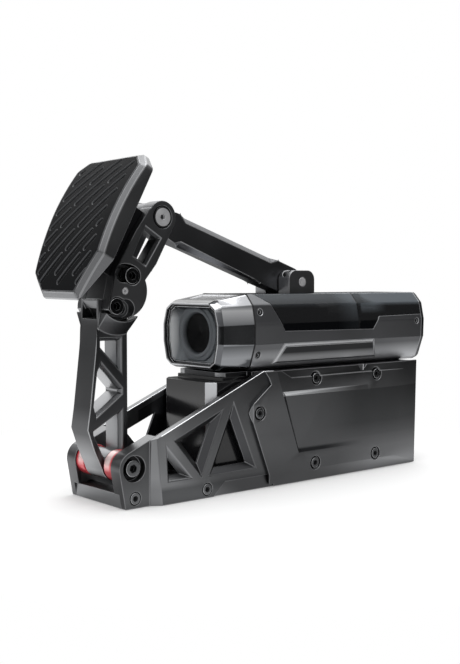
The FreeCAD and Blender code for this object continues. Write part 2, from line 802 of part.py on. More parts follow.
def make_lens_ring():
    """Bulkhead behind the lens with stepped rings round the screw's end."""
    base = bezel_x + 5.0
    plate = cap_inner_at(base, base + wall)
    rings = rod_x(0, screw_z, 30.0, base - 2.5, base).fuse(rod_x(0, screw_z, 25.5, base - 4.5, base))
    plate = plate.fuse(rings.common(cap_inner_at(bezel_x, base + 0.5)))
    plate = plate.fuse(rod_x(0, screw_z, 21.0, base - 6.0, base))
    bowl = Part.makeCone(19.0, 15.5, 12, V(base - 7.1, 0, screw_z), V(1, 0, 0))
    ring = plate.cut(bowl).cut(rod_x(0, screw_z, 15.0, base - 9, base + 6))
    groove = rod_x(0, screw_z, 28.5, base - 4, base - 2).cut(rod_x(0, screw_z, 27.3, base - 5, base - 1))
    return ring.cut(groove).cut(belt_slot()).removeSplitter()


def make_front_bearing_block():
    x0 = tube_front_x - 6
    plate = cap_inner_at(x0, tube_front_x).fuse(tube_solid(tube_front_x, x0 + bearing_block_length, wall))
    return plate.cut(rod_x(0, screw_z, bearing_outer_radius, x0 - 1, x0 + bearing_block_length + 1)).removeSplitter()


def make_rear_bearing_block():
    x1 = tube_rear_x
    plate = tube_solid(x1 - bearing_block_length, x1, wall)
    return plate.cut(rod_x(0, screw_z, bearing_outer_radius, x1 - bearing_block_length - 1, x1 + 1))


def make_screw_bearings():
    rings = []
    for low in (tube_front_x - 6, tube_rear_x - bearing_block_length):
        ring = rod_x(0, screw_z, bearing_outer_radius, low, low + bearing_block_length)
        bore = rod_x(0, screw_z, journal_radius + running_gap, low - 1, low + bearing_block_length + 1)
        rings.append(ring.cut(bore))
    return group(rings)


def make_guide_rods():
    low = tube_front_x - 6 + bearing_block_length
    high = tube_rear_x - bearing_block_length
    one = rod_x(rod_half_y, rod_z, rod_radius, low, high)
    return group([one, mirrored(one)])


def make_ball_screw():
    front = pulley_front_x - 4
    rear = tube_rear_x - 0.5
    thread_low = tube_front_x - 6 + bearing_block_length + 1
    thread_high = tube_rear_x - bearing_block_length - 1
    return rod_x(0, screw_z, journal_radius, front, rear).fuse(rod_x(0, screw_z, thread_radius, thread_low, thread_high))


def make_carriage():
    """Sliding block on the two guide rods; the clevis stands on it and reaches up through the slot."""
    body = block((carriage_front_x, -carriage_half, carriage_bottom), (carriage_rear_x, carriage_half, channel_floor))
    wings = block((carriage_front_x, -31.0, 109.0), (carriage_rear_x, 31.0, 125.0))
    body = body.fuse(wings)
    for sign in (1, -1):
        bore = rod_x(sign * rod_half_y, rod_z, rod_radius + running_gap, carriage_front_x - 1, carriage_rear_x + 1)
        body = body.cut(bore)
    for x, y in clevis_screw_spots():
        body = body.cut(Part.makeCylinder(clevis_shank_radius, 20, V(x, y, channel_floor - 5)))
    return body.cut(rod_x(0, screw_z, nut_radius, carriage_front_x - 1, carriage_rear_x + 1)).removeSplitter()


def make_ball_nut():
    seat = carriage_rear_x + cell_thickness
    body = rod_x(0, screw_z, nut_radius, carriage_front_x + 12, seat)
    body = body.fuse(rod_x(0, screw_z, nut_flange_radius, seat, nut_rear_x))
    groove = rod_x(0, screw_z, nut_flange_radius + 1, seat + nut_flange, seat + nut_flange + 1.5)
    body = body.cut(groove.cut(rod_x(0, screw_z, nut_flange_radius - 1.2, seat, seat + nut_flange + 3)))
    return body.cut(rod_x(0, screw_z, thread_radius + running_gap, carriage_front_x, nut_rear_x + 1)).removeSplitter()


def make_load_cell():
    ring = rod_x(0, screw_z, nut_flange_radius, carriage_rear_x, carriage_rear_x + cell_thickness)
    return ring.cut(rod_x(0, screw_z, nut_radius, carriage_rear_x - 1, carriage_rear_x + cell_thickness + 1))


def make_clevis():
    """Two ears on a floor plate, with a round screw recess in each ear's front face."""
    ears = prism([(clevis_front_x, channel_floor), (clevis_front_x, clevis_top), (clevis_rear_x, clevis_top),
                  (clevis_rear_x, channel_floor)], xz, -carriage_half, carriage_half)
    edges = [e for e in ears.Edges if abs(e.BoundBox.ZMin - clevis_top) < 0.01 and e.BoundBox.YLength > 40]
    ears = ears.makeFillet(clevis_corner, edges)
    gap = block((clevis_front_x - 1, -clevis_ear_inner, clevis_floor), (clevis_rear_x + 1, clevis_ear_inner, 200))
    ears = ears.cut(gap).cut(rod_y(pin_x, pin_z, pin_radius, -carriage_half - 1, carriage_half + 1))
    for x, y in clevis_screw_spots():
        ears = ears.cut(Part.makeCylinder(clevis_bore_radius, 30, V(x, y, clevis_screw_seat)))
        ears = ears.cut(Part.makeCylinder(clevis_shank_radius, 60, V(x, y, channel_floor - 1)))
    return ears.removeSplitter()


clevis_bore_radius = 3.9
clevis_screw_seat = 162.0
clevis_screw_head = 5.0
clevis_shank_radius = 2.0


def clevis_screw_spots():
    """Vertical screws, two in each ear, near the ear's front and rear."""
    middle = (clevis_ear_inner + carriage_half) / 2
    reach = clevis_bore_radius + 0.5
    return [(x, sign * middle) for x in (clevis_front_x + reach, clevis_rear_x - reach) for sign in (1, -1)]


def make_clevis_screws():
    screws = []
    for x, y in clevis_screw_spots():
        head = Part.makeCylinder(clevis_bore_radius - 0.3, clevis_screw_head, V(x, y, clevis_screw_seat))
        socket = prism(hexagon(x, y, clevis_bore_radius * 0.45), xy, clevis_screw_seat + 2.0, clevis_screw_seat + 9)
        shank = Part.makeCylinder(clevis_shank_radius, clevis_screw_seat - channel_floor + 6, V(x, y, channel_floor - 5))
        screws.append(head.cut(socket).fuse(shank))
    return group(screws)


def make_clevis_pin():
    return rod_y(pin_x, pin_z, pin_radius, -carriage_half - 0.3, carriage_half + 0.3)


def local(origin, direction):
    """Place 2-D points given along and across a direction in the XZ plane."""
    ux, uz = direction

    def place(point, y=0.0):
        along, across = point
        return V(origin[0] + ux * along - uz * across, y, origin[1] + uz * along + ux * across)
    return place


# Lower arm outline, front edge upwards then the rear edge downwards
arm_front = ((-1.5, 23.5), (-10.6, 43.5), (-16.4, 60.5), (-13.8, 77.5), (-8.6, 121.4), (-6.6, 141.0))
arm_rear_x = 21.0
arm_block_top = 162.2
arm_block_x = -6.6
arm_windows = (
    ((-4.6, 132.0), (-4.6, 123.5), (15.8, 102.5), (15.8, 132.0)),
    ((-3.6, 113.2), (-7.4, 105.5), (-10.9, 78.4), (-8.6, 68.6), (16.6, 86.5), (16.4, 91.5)),
    ((-11.4, 59.8), (16.4, 75.2), (16.4, 33.8), (-0.5, 33.8), (-11.3, 55.4)),
)


def make_lower_arm():
    """Milled truss arm: hub, triangular windows, and the joint drum with its flared cradles."""
    outline = [(axle_x, axle_z - 2)] + list(arm_front)
    outline += [(arm_block_x, arm_block_top), (joint_x, arm_block_top), (arm_rear_x, joint_z - 8), (arm_rear_x, axle_z + 4)]
    arm = prism(outline, xz, -arm_half, arm_half)
    arm = arm.fuse(rod_y(axle_x, axle_z, hub_radius, -arm_half, arm_half))
    drum = rod_y(joint_x, joint_z, drum_radius, -arm_half, arm_half)
    arm = arm.fuse(drum.cut(ahead_of_cheeks(-arm_half - 1, arm_half + 1)))
    for points in arm_windows:
        for outer in (arm_half, -arm_half):
            arm = arm.cut(bevelled_window(points, arm_window_inset, xz, outer, arm_window_depth, 0.0))
    arm = arm.fuse(rod_y(axle_x, axle_z, hub_tube_radius, -arm_half, arm_half))
    for sign in (1, -1):
        flare = Part.makeCone(cradle_base_radius, cradle_tip_radius, cradle_tip_y - arm_half,
                              V(joint_x, sign * arm_half, joint_z), V(0, sign, 0))
        disc_room = rod_y(joint_x, joint_z, cradle_room_radius, -40, 40)
        trim = prism([(cradle_front_x, 100), (cradle_front_x, 139.7), (cradle_front_x + 2.2, 152.4),
                      (cradle_rear_x + 6.5, 156), (cradle_rear_x, 137), (cradle_rear_x, 100)], xz, -40, 40)
        arm = arm.fuse(flare.cut(disc_room).common(trim))
        for angle in (arm_lean, arm_lean + 180):
            x, z = clamp_spot(angle)
            low, high = sorted((sign * 3.0, sign * (arm_half + 1)))
            arm = arm.cut(rod_y(x, z, clamp_shank_radius, low, high))
    pocket = prism([(arm_block_x - 2, 147), (4.5, 147), (0.2, 154.8), (-3.3, 154.8), (arm_block_x - 0.2, 161.4),
                    (arm_block_x - 2, 161.4)], xz, -10.2, 10.2)
    arm = arm.cut(pocket)
    for low, high in ((arm_half - hub_bearing_width, arm_half + 1), (-arm_half - 1, -arm_half + hub_bearing_width)):
        arm = arm.cut(rod_y(axle_x, axle_z, hub_bearing_radius, low, high))
    arm = arm.cut(rod_y(axle_x, axle_z, axle_radius + 1.0, -arm_half - 1, arm_half + 1))
    return arm.removeSplitter()


# Front edge of the cheeks, along and across the strut, seen from the joint
cheek_front = ((-26.0, 4.1), (10.0, 16.3), (44.0, 16.1))


def ahead_of_cheeks(low, high):
    """Everything in front of the cheeks' front edges."""
    ux, uz, length = arm_direction()
    place = local((joint_x, joint_z), (ux, uz))
    line = list(cheek_front) + [(length - 4, fork_tip_radius + 1.2), (length + 60, 7.0)]
    return prism([(-26.0, 90)] + line + [(length + 60, 90)], place, low, high)


def clamp_spot(angle):
    turn = math.radians(angle)
    return joint_x + clamp_screw_radius * math.sin(turn), joint_z + clamp_screw_radius * math.cos(turn)


def make_hub_bearings():
    rings = []
    for low in (arm_half - hub_bearing_width, -arm_half):
        ring = rod_y(axle_x, axle_z, hub_bearing_radius, low, low + hub_bearing_width)
        rings.append(ring.cut(rod_y(axle_x, axle_z, axle_radius + running_gap, low - 1, low + hub_bearing_width + 1)))
    return group(rings)


def curved_slot(angle, half_width, low, high):
    """Round-ended slot along the clamp screws' circle, swept back from a screw's place."""
    ring = rod_y(joint_x, joint_z, clamp_screw_radius + half_width, low, high)
    ring = ring.cut(rod_y(joint_x, joint_z, clamp_screw_radius - half_width, low - 1, high + 1))
    reach = 60.0
    first, last = math.radians(angle - clamp_slot_sweep), math.radians(angle)
    middle = (first + last) / 2
    fan = [(joint_x, joint_z)]
    fan += [(joint_x + reach * math.sin(a), joint_z + reach * math.cos(a)) for a in (first, middle, last)]
    slot = ring.common(prism(fan, xz, low, high))
    for a in (angle - clamp_slot_sweep, angle):
        x, z = clamp_spot(a)
        slot = slot.fuse(rod_y(x, z, half_width, low, high))
    return slot


def arm_direction():
    dx, dz = pivot_x - joint_x, pivot_z - joint_z
    length = math.hypot(dx, dz)
    return dx / length, dz / length, length


def make_upper_arm():
    """Left cheek: a slotted disc, a windowed strut and a round end at the rod pivot."""
    ux, uz, length = arm_direction()
    place = local((joint_x, joint_z), (ux, uz))
    strut = prism([(-4, 20), (length - 4, 20), (length, fork_tip_radius), (length, -fork_tip_radius), (34, -14.6),
                   (16.5, -12.0), (-4, -12)], place, disc_inner, disc_outer)
    upper = prism([(27, 20), (length - 4, 20), (length, fork_tip_radius), (length, -fork_tip_radius), (34, -14.6),
                   (27, -13.6)], place, fork_inner, disc_outer)
    cheek = strut.fuse(upper)
    cheek = cheek.fuse(rod_y(pivot_x, pivot_z, fork_tip_radius, fork_inner, disc_outer))
    cheek = cheek.fuse(rod_y(joint_x, joint_z, disc_radius, disc_inner, disc_outer))
    cheek = cheek.cut(ahead_of_cheeks(fork_inner - 1, disc_outer + 1))
    window = [(54.6, -7.9), (54.4, 10.6), (26.9, 8.2), (26.6, -6.9)]
    cheek = cheek.cut(bevelled_window(window, 2.4, place, disc_outer, 4.0, fork_inner))
    for angle in (arm_lean, arm_lean + 180):
        cheek = cheek.cut(curved_slot(angle, clamp_slot_half, disc_outer - clamp_slot_depth, disc_outer + 1))
        cheek = cheek.cut(curved_slot(angle, clamp_shank_radius + 0.3, disc_inner - 1, disc_outer))
    cheek = cheek.cut(rod_y(joint_x, joint_z, centre_head_radius, disc_inner - 1, disc_outer + 1))
    cheek = cheek.cut(rod_y(pivot_x, pivot_z, pivot_bolt_radius, fork_inner - 1, disc_outer + 1))
    cheek = cheek.cut(rod_y(pivot_x, pivot_z, pivot_head_radius + 0.8, disc_outer - 2.4, disc_outer + 1))
    return cheek.removeSplitter()


def make_clamp_screws():
    screws = []
    seat = disc_outer - clamp_slot_depth
    for angle in (arm_lean, arm_lean + 180):
        x, z = clamp_spot(angle)
        one = screw_y(x, z, seat, clamp_head_radius, clamp_head_height, clamp_shank_radius, 3.0)
        screws += [one, mirrored(one)]
    return group(screws)


def make_centre_screws():
    head = rod_y(joint_x, joint_z, centre_head_radius, disc_inner, disc_outer + 0.4)
    head = head.cut(hex_y(joint_x, joint_z, centre_head_radius * 0.5, disc_outer - 1.2, disc_outer + 1))
    return group([head, mirrored(head)])


def make_pivot_bolt():
    bolt = rod_y(pivot_x, pivot_z, pivot_bolt_radius, -disc_outer + 2, disc_outer - 2)
    for sign in (1, -1):
        head = rod_y(pivot_x, pivot_z, pivot_head_radius, disc_outer - 2.4, disc_outer - 2.4 + pivot_head_height)
        head = head.cut(hex_y(pivot_x, pivot_z, pivot_head_radius * 0.3, disc_outer - 1.4, disc_outer + 2))
        bolt = bolt.fuse(head if sign > 0 else mirrored(head))
    return bolt.removeSplitter()


def rod_frame():
    dx, dz = pin_x - pivot_x, pin_z - pivot_z
    length = math.hypot(dx, dz)
    return local((pivot_x, pivot_z), (dx / length, dz / length)), length


def run_out(place, start, end, size_start, size_end, side, y_sign):
    """Cutter for one long bevel of the rod, tapering to nothing at both ends."""
    taper = 8.0
    edge = side * rod_depth

    def triangle(along, size):
        y = y_sign * rod_half
        a = place((along, edge), y)
        b = place((along, edge - side * size), y)
        d = place((along, edge), y - y_sign * size)
        return Part.makePolygon([a, b, d, a])
    tiny = 0.02
    return loft([triangle(start - taper, tiny), triangle(start, size_start), triangle(end, size_end),
                 triangle(end + taper, tiny)])


def make_link_rod():
    place, length = rod_frame()
    outline = [(0, rod_tip_radius - 0.4), (16, rod_tip_radius - 0.4), (22, rod_depth), (length, rod_depth),
               (length, -rod_depth), (34, -rod_depth), (20, -rod_tip_radius + 2), (0, -rod_tip_radius + 2)]
    rod = prism(outline, place, -rod_half, rod_half)
    rod = rod.fuse(rod_y(pivot_x, pivot_z, rod_tip_radius, -rod_half, rod_half))
    rod = rod.fuse(rod_y(pin_x, pin_z, rod_eye_radius, -rod_half, rod_half))
    for y_sign in (1, -1):
        rod = rod.cut(run_out(place, 34, length - 29, rod_chamfer, rod_chamfer, 1, y_sign))
        rod = rod.cut(run_out(place, 34, length - 44, rod_chamfer, rod_small_chamfer, -1, y_sign))
    rod = rod.cut(rod_y(pivot_x, pivot_z, bush_radius, -rod_half - 1, rod_half + 1))
    return rod.cut(rod_y(pin_x, pin_z, eye_bearing_radius, -rod_half - 1, rod_half + 1)).removeSplitter()


def make_rod_bearings():
    rings = []
    for x, z, outer, inner in ((pivot_x, pivot_z, bush_radius, pivot_bolt_radius + running_gap),
                               (pin_x, pin_z, eye_bearing_radius, pin_radius + pin_play)):
        ring = rod_y(x, z, outer, -rod_half, rod_half)
        rings.append(ring.cut(rod_y(x, z, inner, -rod_half - 1, rod_half + 1)))
    return group(rings)


# Foot plate outline as height along the plate and half width, left side then right side
plate_outline = (
    (99.7, 39.0), (88.8, 51.2), (50.0, 50.0), (26.0, 48.5), (-8.5, 47.0), (-25.0, 28.5),
    (-25.5, -22.5), (9.0, -45.2), (88.0, -45.4), (99.9, -31.5),
)


def plate_place(point, level=0.0):
    """Put a point of the foot plate (along, left) at a distance in front of the joint."""
    lean = math.radians(plate_lean)
    along, left = point
    return V(joint_x + along * math.sin(lean) - level * math.cos(lean), left,
             joint_z + along * math.cos(lean) + level * math.sin(lean))


def crown(drop):
    """Solid cylinder whose skin is the crowned face of the plate, lowered by drop."""
    centre = plate_place((plate_crown_s, -80), plate_front - plate_crown_radius)
    return Part.makeCylinder(plate_crown_radius - drop, 160, centre, V(0, 1, 0))


def plate_back():
    return plate_front - plate_depth


def plate_slab(points, low, high, corner=3.0):
    return prism(points, plate_place, low, high, corner)


def make_foot_plate():
    """Crowned tray with a bevelled rim round the rubber tread."""
    outline = list(plate_outline)
    tray = plate_slab(outline, plate_back(), plate_front + 5, plate_corner).common(crown(0.0))
    front = max(tray.Faces, key=lambda f: f.Area if "Cylinder" in str(f.Surface) and f.Surface.Radius > 100 else 0)
    tray = tray.makeChamfer(plate_rim, front.Edges)
    seat = plate_slab(inset(outline, plate_rim + 0.6), plate_back() - 1, plate_front + 5).cut(crown(tread_thickness))
    hollow = plate_slab(inset(outline, 5.0), plate_back() - 1, plate_back() + 6)
    bosses = block_on_plate(bracket_low_s - 1, bracket_high_s + 1, bracket_half + 1, plate_back() - 2, plate_back() + 7)
    return tray.cut(seat).cut(hollow.cut(bosses)).removeSplitter()


def block_on_plate(low_s, high_s, half_y, low, high):
    return prism([(low_s, -half_y), (low_s, half_y), (high_s, half_y), (high_s, -half_y)], plate_place, low, high)


# Grooves of the tread: rows across the plate at 45 degrees, each row shifted by a third of the step
groove_pitch = 9.53
groove_first = -6.8
groove_low_end = 22.3
groove_step = 55.2
groove_length = 51.6
groove_half = 2.1
groove_depth = 0.8


def groove_spots():
    """Low and high ends of the grooves' centre lines on the plate, clipped to the tread's field."""
    half = math.sqrt(0.5)
    spots = []
    for row in range(-9, 14):
        q = groove_first + groove_pitch * row
        for column in range(-4, 4):
            low = groove_low_end + groove_step / 3 * (row % 3) + groove_step * column
            high = low + groove_length
            low, high = low + groove_half, high - groove_half
            # s = (q + t) / sqrt 2 and y = (q - t) / sqrt 2 stay inside the field
            low = max(low, (-14.0 / half) - q, q - 40.0 / half)
            high = min(high, (94.0 / half) - q, q + 31.0 / half)
            if high - low > 3.0:
                spots.append((((q + low) * half, (q - low) * half), ((q + high) * half, (q - high) * half)))
    return spots


def groove_solid(ends, low, high):
    """One groove cutter with half-round ends."""
    r = groove_half
    (s0, y0), (s1, y1) = ends
    length = math.hypot(s1 - s0, y1 - y0)
    ds, dy = (s1 - s0) / length, (y1 - y0) / length
    a, b = (s0 - dy * r, y0 + ds * r), (s0 + dy * r, y0 - ds * r)
    c, d = (s1 + dy * r, y1 - ds * r), (s1 - dy * r, y1 + ds * r)
    tip0, tip1 = (s0 - ds * r, y0 - dy * r), (s1 + ds * r, y1 + dy * r)
    edges = [
        Part.Arc(plate_place(a, low), plate_place(tip0, low), plate_place(b, low)).toShape(),
        Part.LineSegment(plate_place(b, low), plate_place(c, low)).toShape(),
        Part.Arc(plate_place(c, low), plate_place(tip1, low), plate_place(d, low)).toShape(),
        Part.LineSegment(plate_place(d, low), plate_place(a, low)).toShape(),
    ]
    face = Part.Face(Part.Wire(edges))
    return face.extrude(plate_place((0, 0), high) - plate_place((0, 0), low))


def make_tread_pad():
    """Crowned rubber sheet with rows of round-ended grooves sunk into its face."""
    outline = list(plate_outline)
    pad = plate_slab(inset(outline, plate_rim + 0.6), plate_back(), plate_front + 5)
    pad = pad.cut(crown(tread_thickness)).common(crown(-0.2))
    rows = [groove_solid(ends, plate_front - 22, plate_front + 3) for ends in groove_spots()]
    cutter = group(rows).cut(crown(groove_depth - 0.2))
    return pad.cut(cutter)


def make_pedal_bracket():
    """Wedge block that seats on the front edges of the cheeks and carries the foot plate."""
    body = block_on_plate(bracket_low_s, bracket_high_s, bracket_half, 8.0, plate_back())
    drum_room = rod_y(joint_x, joint_z, drum_radius + free_gap, -arm_half - free_gap, arm_half + free_gap)
    return body.common(ahead_of_cheeks(-bracket_half - 1, bracket_half + 1)).cut(drum_room).removeSplitter()


def bracket_screw_spots():
    return ((bracket_low_s + 7, -11.0), (bracket_low_s + 7, 11.0), (bracket_high_s - 7, -11.0), (bracket_high_s - 7, 11.0))


def make_pedal_screws():
    """Short screws from the tray into the bracket, under the tread."""
    floor = plate_back() + 3.0
    screws = []
    for s, y in bracket_screw_spots():
        axis = plate_place((0, 0), 1) - plate_place((0, 0), 0)
        head = Part.makeCylinder(4.5, 3.0, plate_place((s, y), floor), axis)
        screws.append(head.fuse(Part.makeCylinder(2.5, 3.5, plate_place((s, y), floor - 3.0), axis)))
    return group(screws)


def screw_room():
    """Counterbores in the foot plate for the bracket screws."""
    floor = plate_back() + 3.0
    axis = plate_place((0, 0), 1) - plate_place((0, 0), 0)
    rooms = []
    for s, y in bracket_screw_spots():
        rooms.append(Part.makeCylinder(4.5, 20, plate_place((s, y), floor), axis))
        rooms.append(Part.makeCylinder(2.5, 20, plate_place((s, y), floor - 10), axis))
    return rooms


def main():
    os.makedirs("parts", exist_ok=True)
    left_plate = make_side_plate()
    save("side_plate_left", left_plate)
    save("side_plate_right", mirrored(left_plate))
    save("front_crossbar", make_crossbar())
    save("base_plate", make_base_plate())
    save("pivot_axle", make_axle())
    save("axle_bolts", make_axle_bolts())
    spacer = make_spacer()
    save("bearing_flange_left", spacer)
    save("bearing_flange_right", mirrored(spacer))
    save("frame_screws", make_frame_screws())
    save("belt_housing", make_belt_housing())
    save("saddle_plate", make_saddle_plate())
    save("motor_frame", make_motor_frame())
    save("motor_end_bell", make_motor_end_bell())
    save("motor_bearings", make_motor_bearings())
    save("motor_rotor", make_motor_rotor())
    save("motor_stator", make_motor_stator())
    save("motor_pulley", make_pulley(motor_z, shaft_radius))
    save("screw_pulley", make_pulley(screw_z, journal_radius))
    save("drive_belt", make_belt())
    save("rear_panel", make_rear_panel())
    save("power_socket", make_power_socket())
    save("data_sockets", make_data_sockets())
    save("controller_board", make_controller_board())
    save("board_standoffs", make_board_standoffs())
    left_cover = make_motor_cover()
    save("motor_cover_left", left_cover)
    save("motor_cover_right", mirrored(left_cover))
    save("cover_screws", make_cover_screws())
    save("tube_shell", make_tube_shell())
    save("tube_top_cover", make_top_cover())
    save("tube_screws", make_tube_screws())
    save("rear_cap", make_rear_cap())
    save("front_cap", make_front_cap())
    save("front_lens", make_front_lens())
    save("lens_ring", make_lens_ring())
    save("front_bearing_block", make_front_bearing_block())
    save("rear_bearing_block", make_rear_bearing_block())
    save("screw_bearings", make_screw_bearings())
    save("guide_rods", make_guide_rods())
    save("ball_screw", make_ball_screw())
    save("carriage_block", make_carriage())
    save("ball_nut", make_ball_nut())
    save("load_cell", make_load_cell())
    save("clevis", make_clevis())
    save("clevis_screws", make_clevis_screws())
    save("clevis_pin", make_clevis_pin())
    save("lower_arm", make_lower_arm())
    save("hub_bearings", make_hub_bearings())
    left_cheek = make_upper_arm()
    save("upper_arm_left", left_cheek)
    save("upper_arm_right", mirrored(left_cheek))
    save("arm_clamp_screws", make_clamp_screws())
    save("arm_centre_screws", make_centre_screws())
    save("top_pivot_bolt", make_pivot_bolt())
    save("link_rod", make_link_rod())
    save("rod_bearings", make_rod_bearings())
    foot_plate, bracket = make_foot_plate(), make_pedal_bracket()
    for room in screw_room():
        foot_plate = foot_plate.cut(room)
        bracket = bracket.cut(room)
    save("foot_plate", foot_plate)
    save("pedal_bracket", bracket)
    save("pedal_screws", make_pedal_screws())
    save("tread_pad", make_tread_pad())


main()
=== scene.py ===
# %% [markdown]
# # A motor-driven simulator pedal
# The object is a machined foot pedal: black anodised side plates, a truss arm with a foot
# plate, a push rod, and an upper tube with a smoked cover. The imported model brings every
# rigid piece in its real place. This lesson gives each piece its edges and its finish, paints
# light and shade into many of those finishes, and makes the few pieces whose surface is
# richer than a plain solid.

# %% Load the model
import json
import math

import bmesh
import bpy
import numpy as np
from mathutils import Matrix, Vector

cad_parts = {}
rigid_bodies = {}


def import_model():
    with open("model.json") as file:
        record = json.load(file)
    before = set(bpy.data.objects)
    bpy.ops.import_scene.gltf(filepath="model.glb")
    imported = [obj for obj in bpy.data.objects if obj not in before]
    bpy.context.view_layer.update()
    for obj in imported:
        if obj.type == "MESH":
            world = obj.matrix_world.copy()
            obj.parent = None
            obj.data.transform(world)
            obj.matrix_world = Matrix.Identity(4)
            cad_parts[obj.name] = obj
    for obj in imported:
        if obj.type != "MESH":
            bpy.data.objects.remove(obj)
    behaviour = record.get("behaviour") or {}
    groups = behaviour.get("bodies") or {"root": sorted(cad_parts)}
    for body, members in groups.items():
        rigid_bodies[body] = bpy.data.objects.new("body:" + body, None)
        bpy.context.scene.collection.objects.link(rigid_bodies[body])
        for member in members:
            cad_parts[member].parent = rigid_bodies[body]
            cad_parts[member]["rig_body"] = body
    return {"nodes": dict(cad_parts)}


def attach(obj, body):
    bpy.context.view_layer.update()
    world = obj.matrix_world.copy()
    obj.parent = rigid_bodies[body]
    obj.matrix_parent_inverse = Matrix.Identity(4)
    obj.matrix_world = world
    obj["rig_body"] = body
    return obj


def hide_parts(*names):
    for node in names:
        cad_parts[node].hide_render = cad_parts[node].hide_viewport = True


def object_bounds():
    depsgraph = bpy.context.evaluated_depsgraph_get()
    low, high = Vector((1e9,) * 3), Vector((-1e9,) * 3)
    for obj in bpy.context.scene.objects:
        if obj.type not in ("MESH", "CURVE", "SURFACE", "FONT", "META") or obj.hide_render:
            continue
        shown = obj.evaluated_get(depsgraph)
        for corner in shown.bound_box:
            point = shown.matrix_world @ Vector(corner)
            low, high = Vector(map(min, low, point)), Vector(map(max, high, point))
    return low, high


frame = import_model()
cad_low, cad_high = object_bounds()
nodes = frame["nodes"]
bodies = {name: thing["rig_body"] for name, thing in nodes.items()}
scene = bpy.context.scene
scene.view_settings.view_transform = "Standard"
print("nodes", len(nodes), "box", [round(v, 4) for v in (cad_high - cad_low)])

# %% [markdown]
# ## Where the photographer stood
# The picture was taken from the foot plate's end and from one side, a little above the
# middle of the machine. The position came from lining up about forty corners of the object
# with the picture, so the camera is written as a place, a direction and a lens.

# %% Camera
ORIGIN_X = 0.165  # metres from the front edge of the base to the frame's origin
AZIMUTH, ELEVATION = math.radians(-40.0), math.radians(2.96)
CAMERA_PLACE = (-439.54, -688.69, 178.04)
LENS, FILM_WIDTH = 55.47, 36.0
NEAREST, FARTHEST = 0.05, 60.0


def station(x, y, z):
    """Millimetres from the front edge of the base -> metres in the model's frame."""
    return Vector((x / 1000 - ORIGIN_X, y / 1000, z / 1000))


camera_data = bpy.data.cameras.new("camera")
camera_data.lens = LENS
camera_data.sensor_width = FILM_WIDTH
camera_data.clip_start, camera_data.clip_end = NEAREST, FARTHEST
camera = bpy.data.objects.new("camera", camera_data)
scene.collection.objects.link(camera)
towards_camera = Vector((math.sin(AZIMUTH) * math.cos(ELEVATION),
                         -math.cos(AZIMUTH) * math.cos(ELEVATION), math.sin(ELEVATION)))
camera.location = station(*CAMERA_PLACE)
camera.rotation_mode = "QUATERNION"
camera.rotation_quaternion = (-towards_camera).to_track_quat("-Z", "Y")
scene.camera = camera
print("camera at", [round(v, 3) for v in camera.location])

# %% [markdown]
# ## Helpers for node materials
# A material is a small graph of nodes. It could be built by hand in the shader editor, but
# a few helpers keep it short enough to read: one adds a node and links its inputs, one
# starts a Principled surface, and one links a result to an input of that surface.

# %% Nodes and surfaces
def add(owner, kind, links=None, **values):
    """A node of that kind; links are {input: output socket}, values are settings or inputs."""
    node = owner.node_tree.nodes.new(kind)
    for key, value in values.items():
        if hasattr(node, key):
            setattr(node, key, value)
        else:
            node.inputs[key.replace("_", " ")].default_value = value
    for key, socket in (links or {}).items():
        owner.node_tree.links.new(socket, node.inputs[key])
    return node


def surface(material):
    """The inputs of the material's Principled node."""
    return material.node_tree.nodes["Principled BSDF"].inputs


def wire(material, socket, entry):
    """Link a socket to an input of the Principled node."""
    material.node_tree.links.new(socket, surface(material)[entry])


def start(name, colour, roughness, metallic=0.0, **sockets):
    """A material with one Principled node; other sockets are given by name."""
    material = bpy.data.materials.new(name)
    material.use_nodes = True
    entries = surface(material)
    entries["Base Color"].default_value = (*colour, 1.0)
    entries["Roughness"].default_value = roughness
    entries["Metallic"].default_value = metallic
    for key, value in sockets.items():
        entries[key.replace("_", " ")].default_value = value
    return material


print("helpers", [helper.__name__ for helper in (add, surface, wire, start)])

# %% [markdown]
# ## Patterns and blends
# Four more helpers say what a surface is like from point to point: a cloud pattern, a value
# spread over another range, a blend of two colours, and a fine relief. Patterns read Object
# coordinates in metres, so they stay on the piece when it moves, and a scale of 4000 is a
# grain of a quarter of a millimetre.

# %% Patterns and blends
USUAL = (0.3, 0.7)


def place(material):
    """Object coordinates, in metres."""
    return add(material, "ShaderNodeTexCoord").outputs["Object"]


def noise(material, scale, detail=2.0):
    """A cloud pattern from 0 to 1; most of it lies in the usual range."""
    node = add(material, "ShaderNodeTexNoise", {"Vector": place(material)}, Scale=scale, Detail=detail)
    return node.outputs["Fac"]


def ramp(owner, value, low, high, a=0.0, b=1.0):
    """Spread value from low..high over a..b, clamped; low may be the larger one."""
    node = add(owner, "ShaderNodeMapRange", {"Value": value})
    for entry, number in (("From Min", low), ("From Max", high), ("To Min", a), ("To Max", b)):
        node.inputs[entry].default_value = number
    return node.outputs["Result"]


def tint(owner, factor, first, second):
    """Blend two colours by a factor; each colour is three numbers or a socket."""
    node = add(owner, "ShaderNodeMix", {0: factor}, data_type="RGBA")
    for entry, colour in ((6, first), (7, second)):
        if isinstance(colour, tuple):
            node.inputs[entry].default_value = (*colour, 1.0)
        else:
            owner.node_tree.links.new(colour, node.inputs[entry])
    return node.outputs[2]


def relief(material, height, strength, depth):
    """Use a pattern as a fine relief of the surface; the depth is in metres."""
    bump = add(material, "ShaderNodeBump", {"Height": height}, Strength=strength, Distance=depth)
    wire(material, bump.outputs["Normal"], "Normal")


print("most of a noise is between", USUAL)
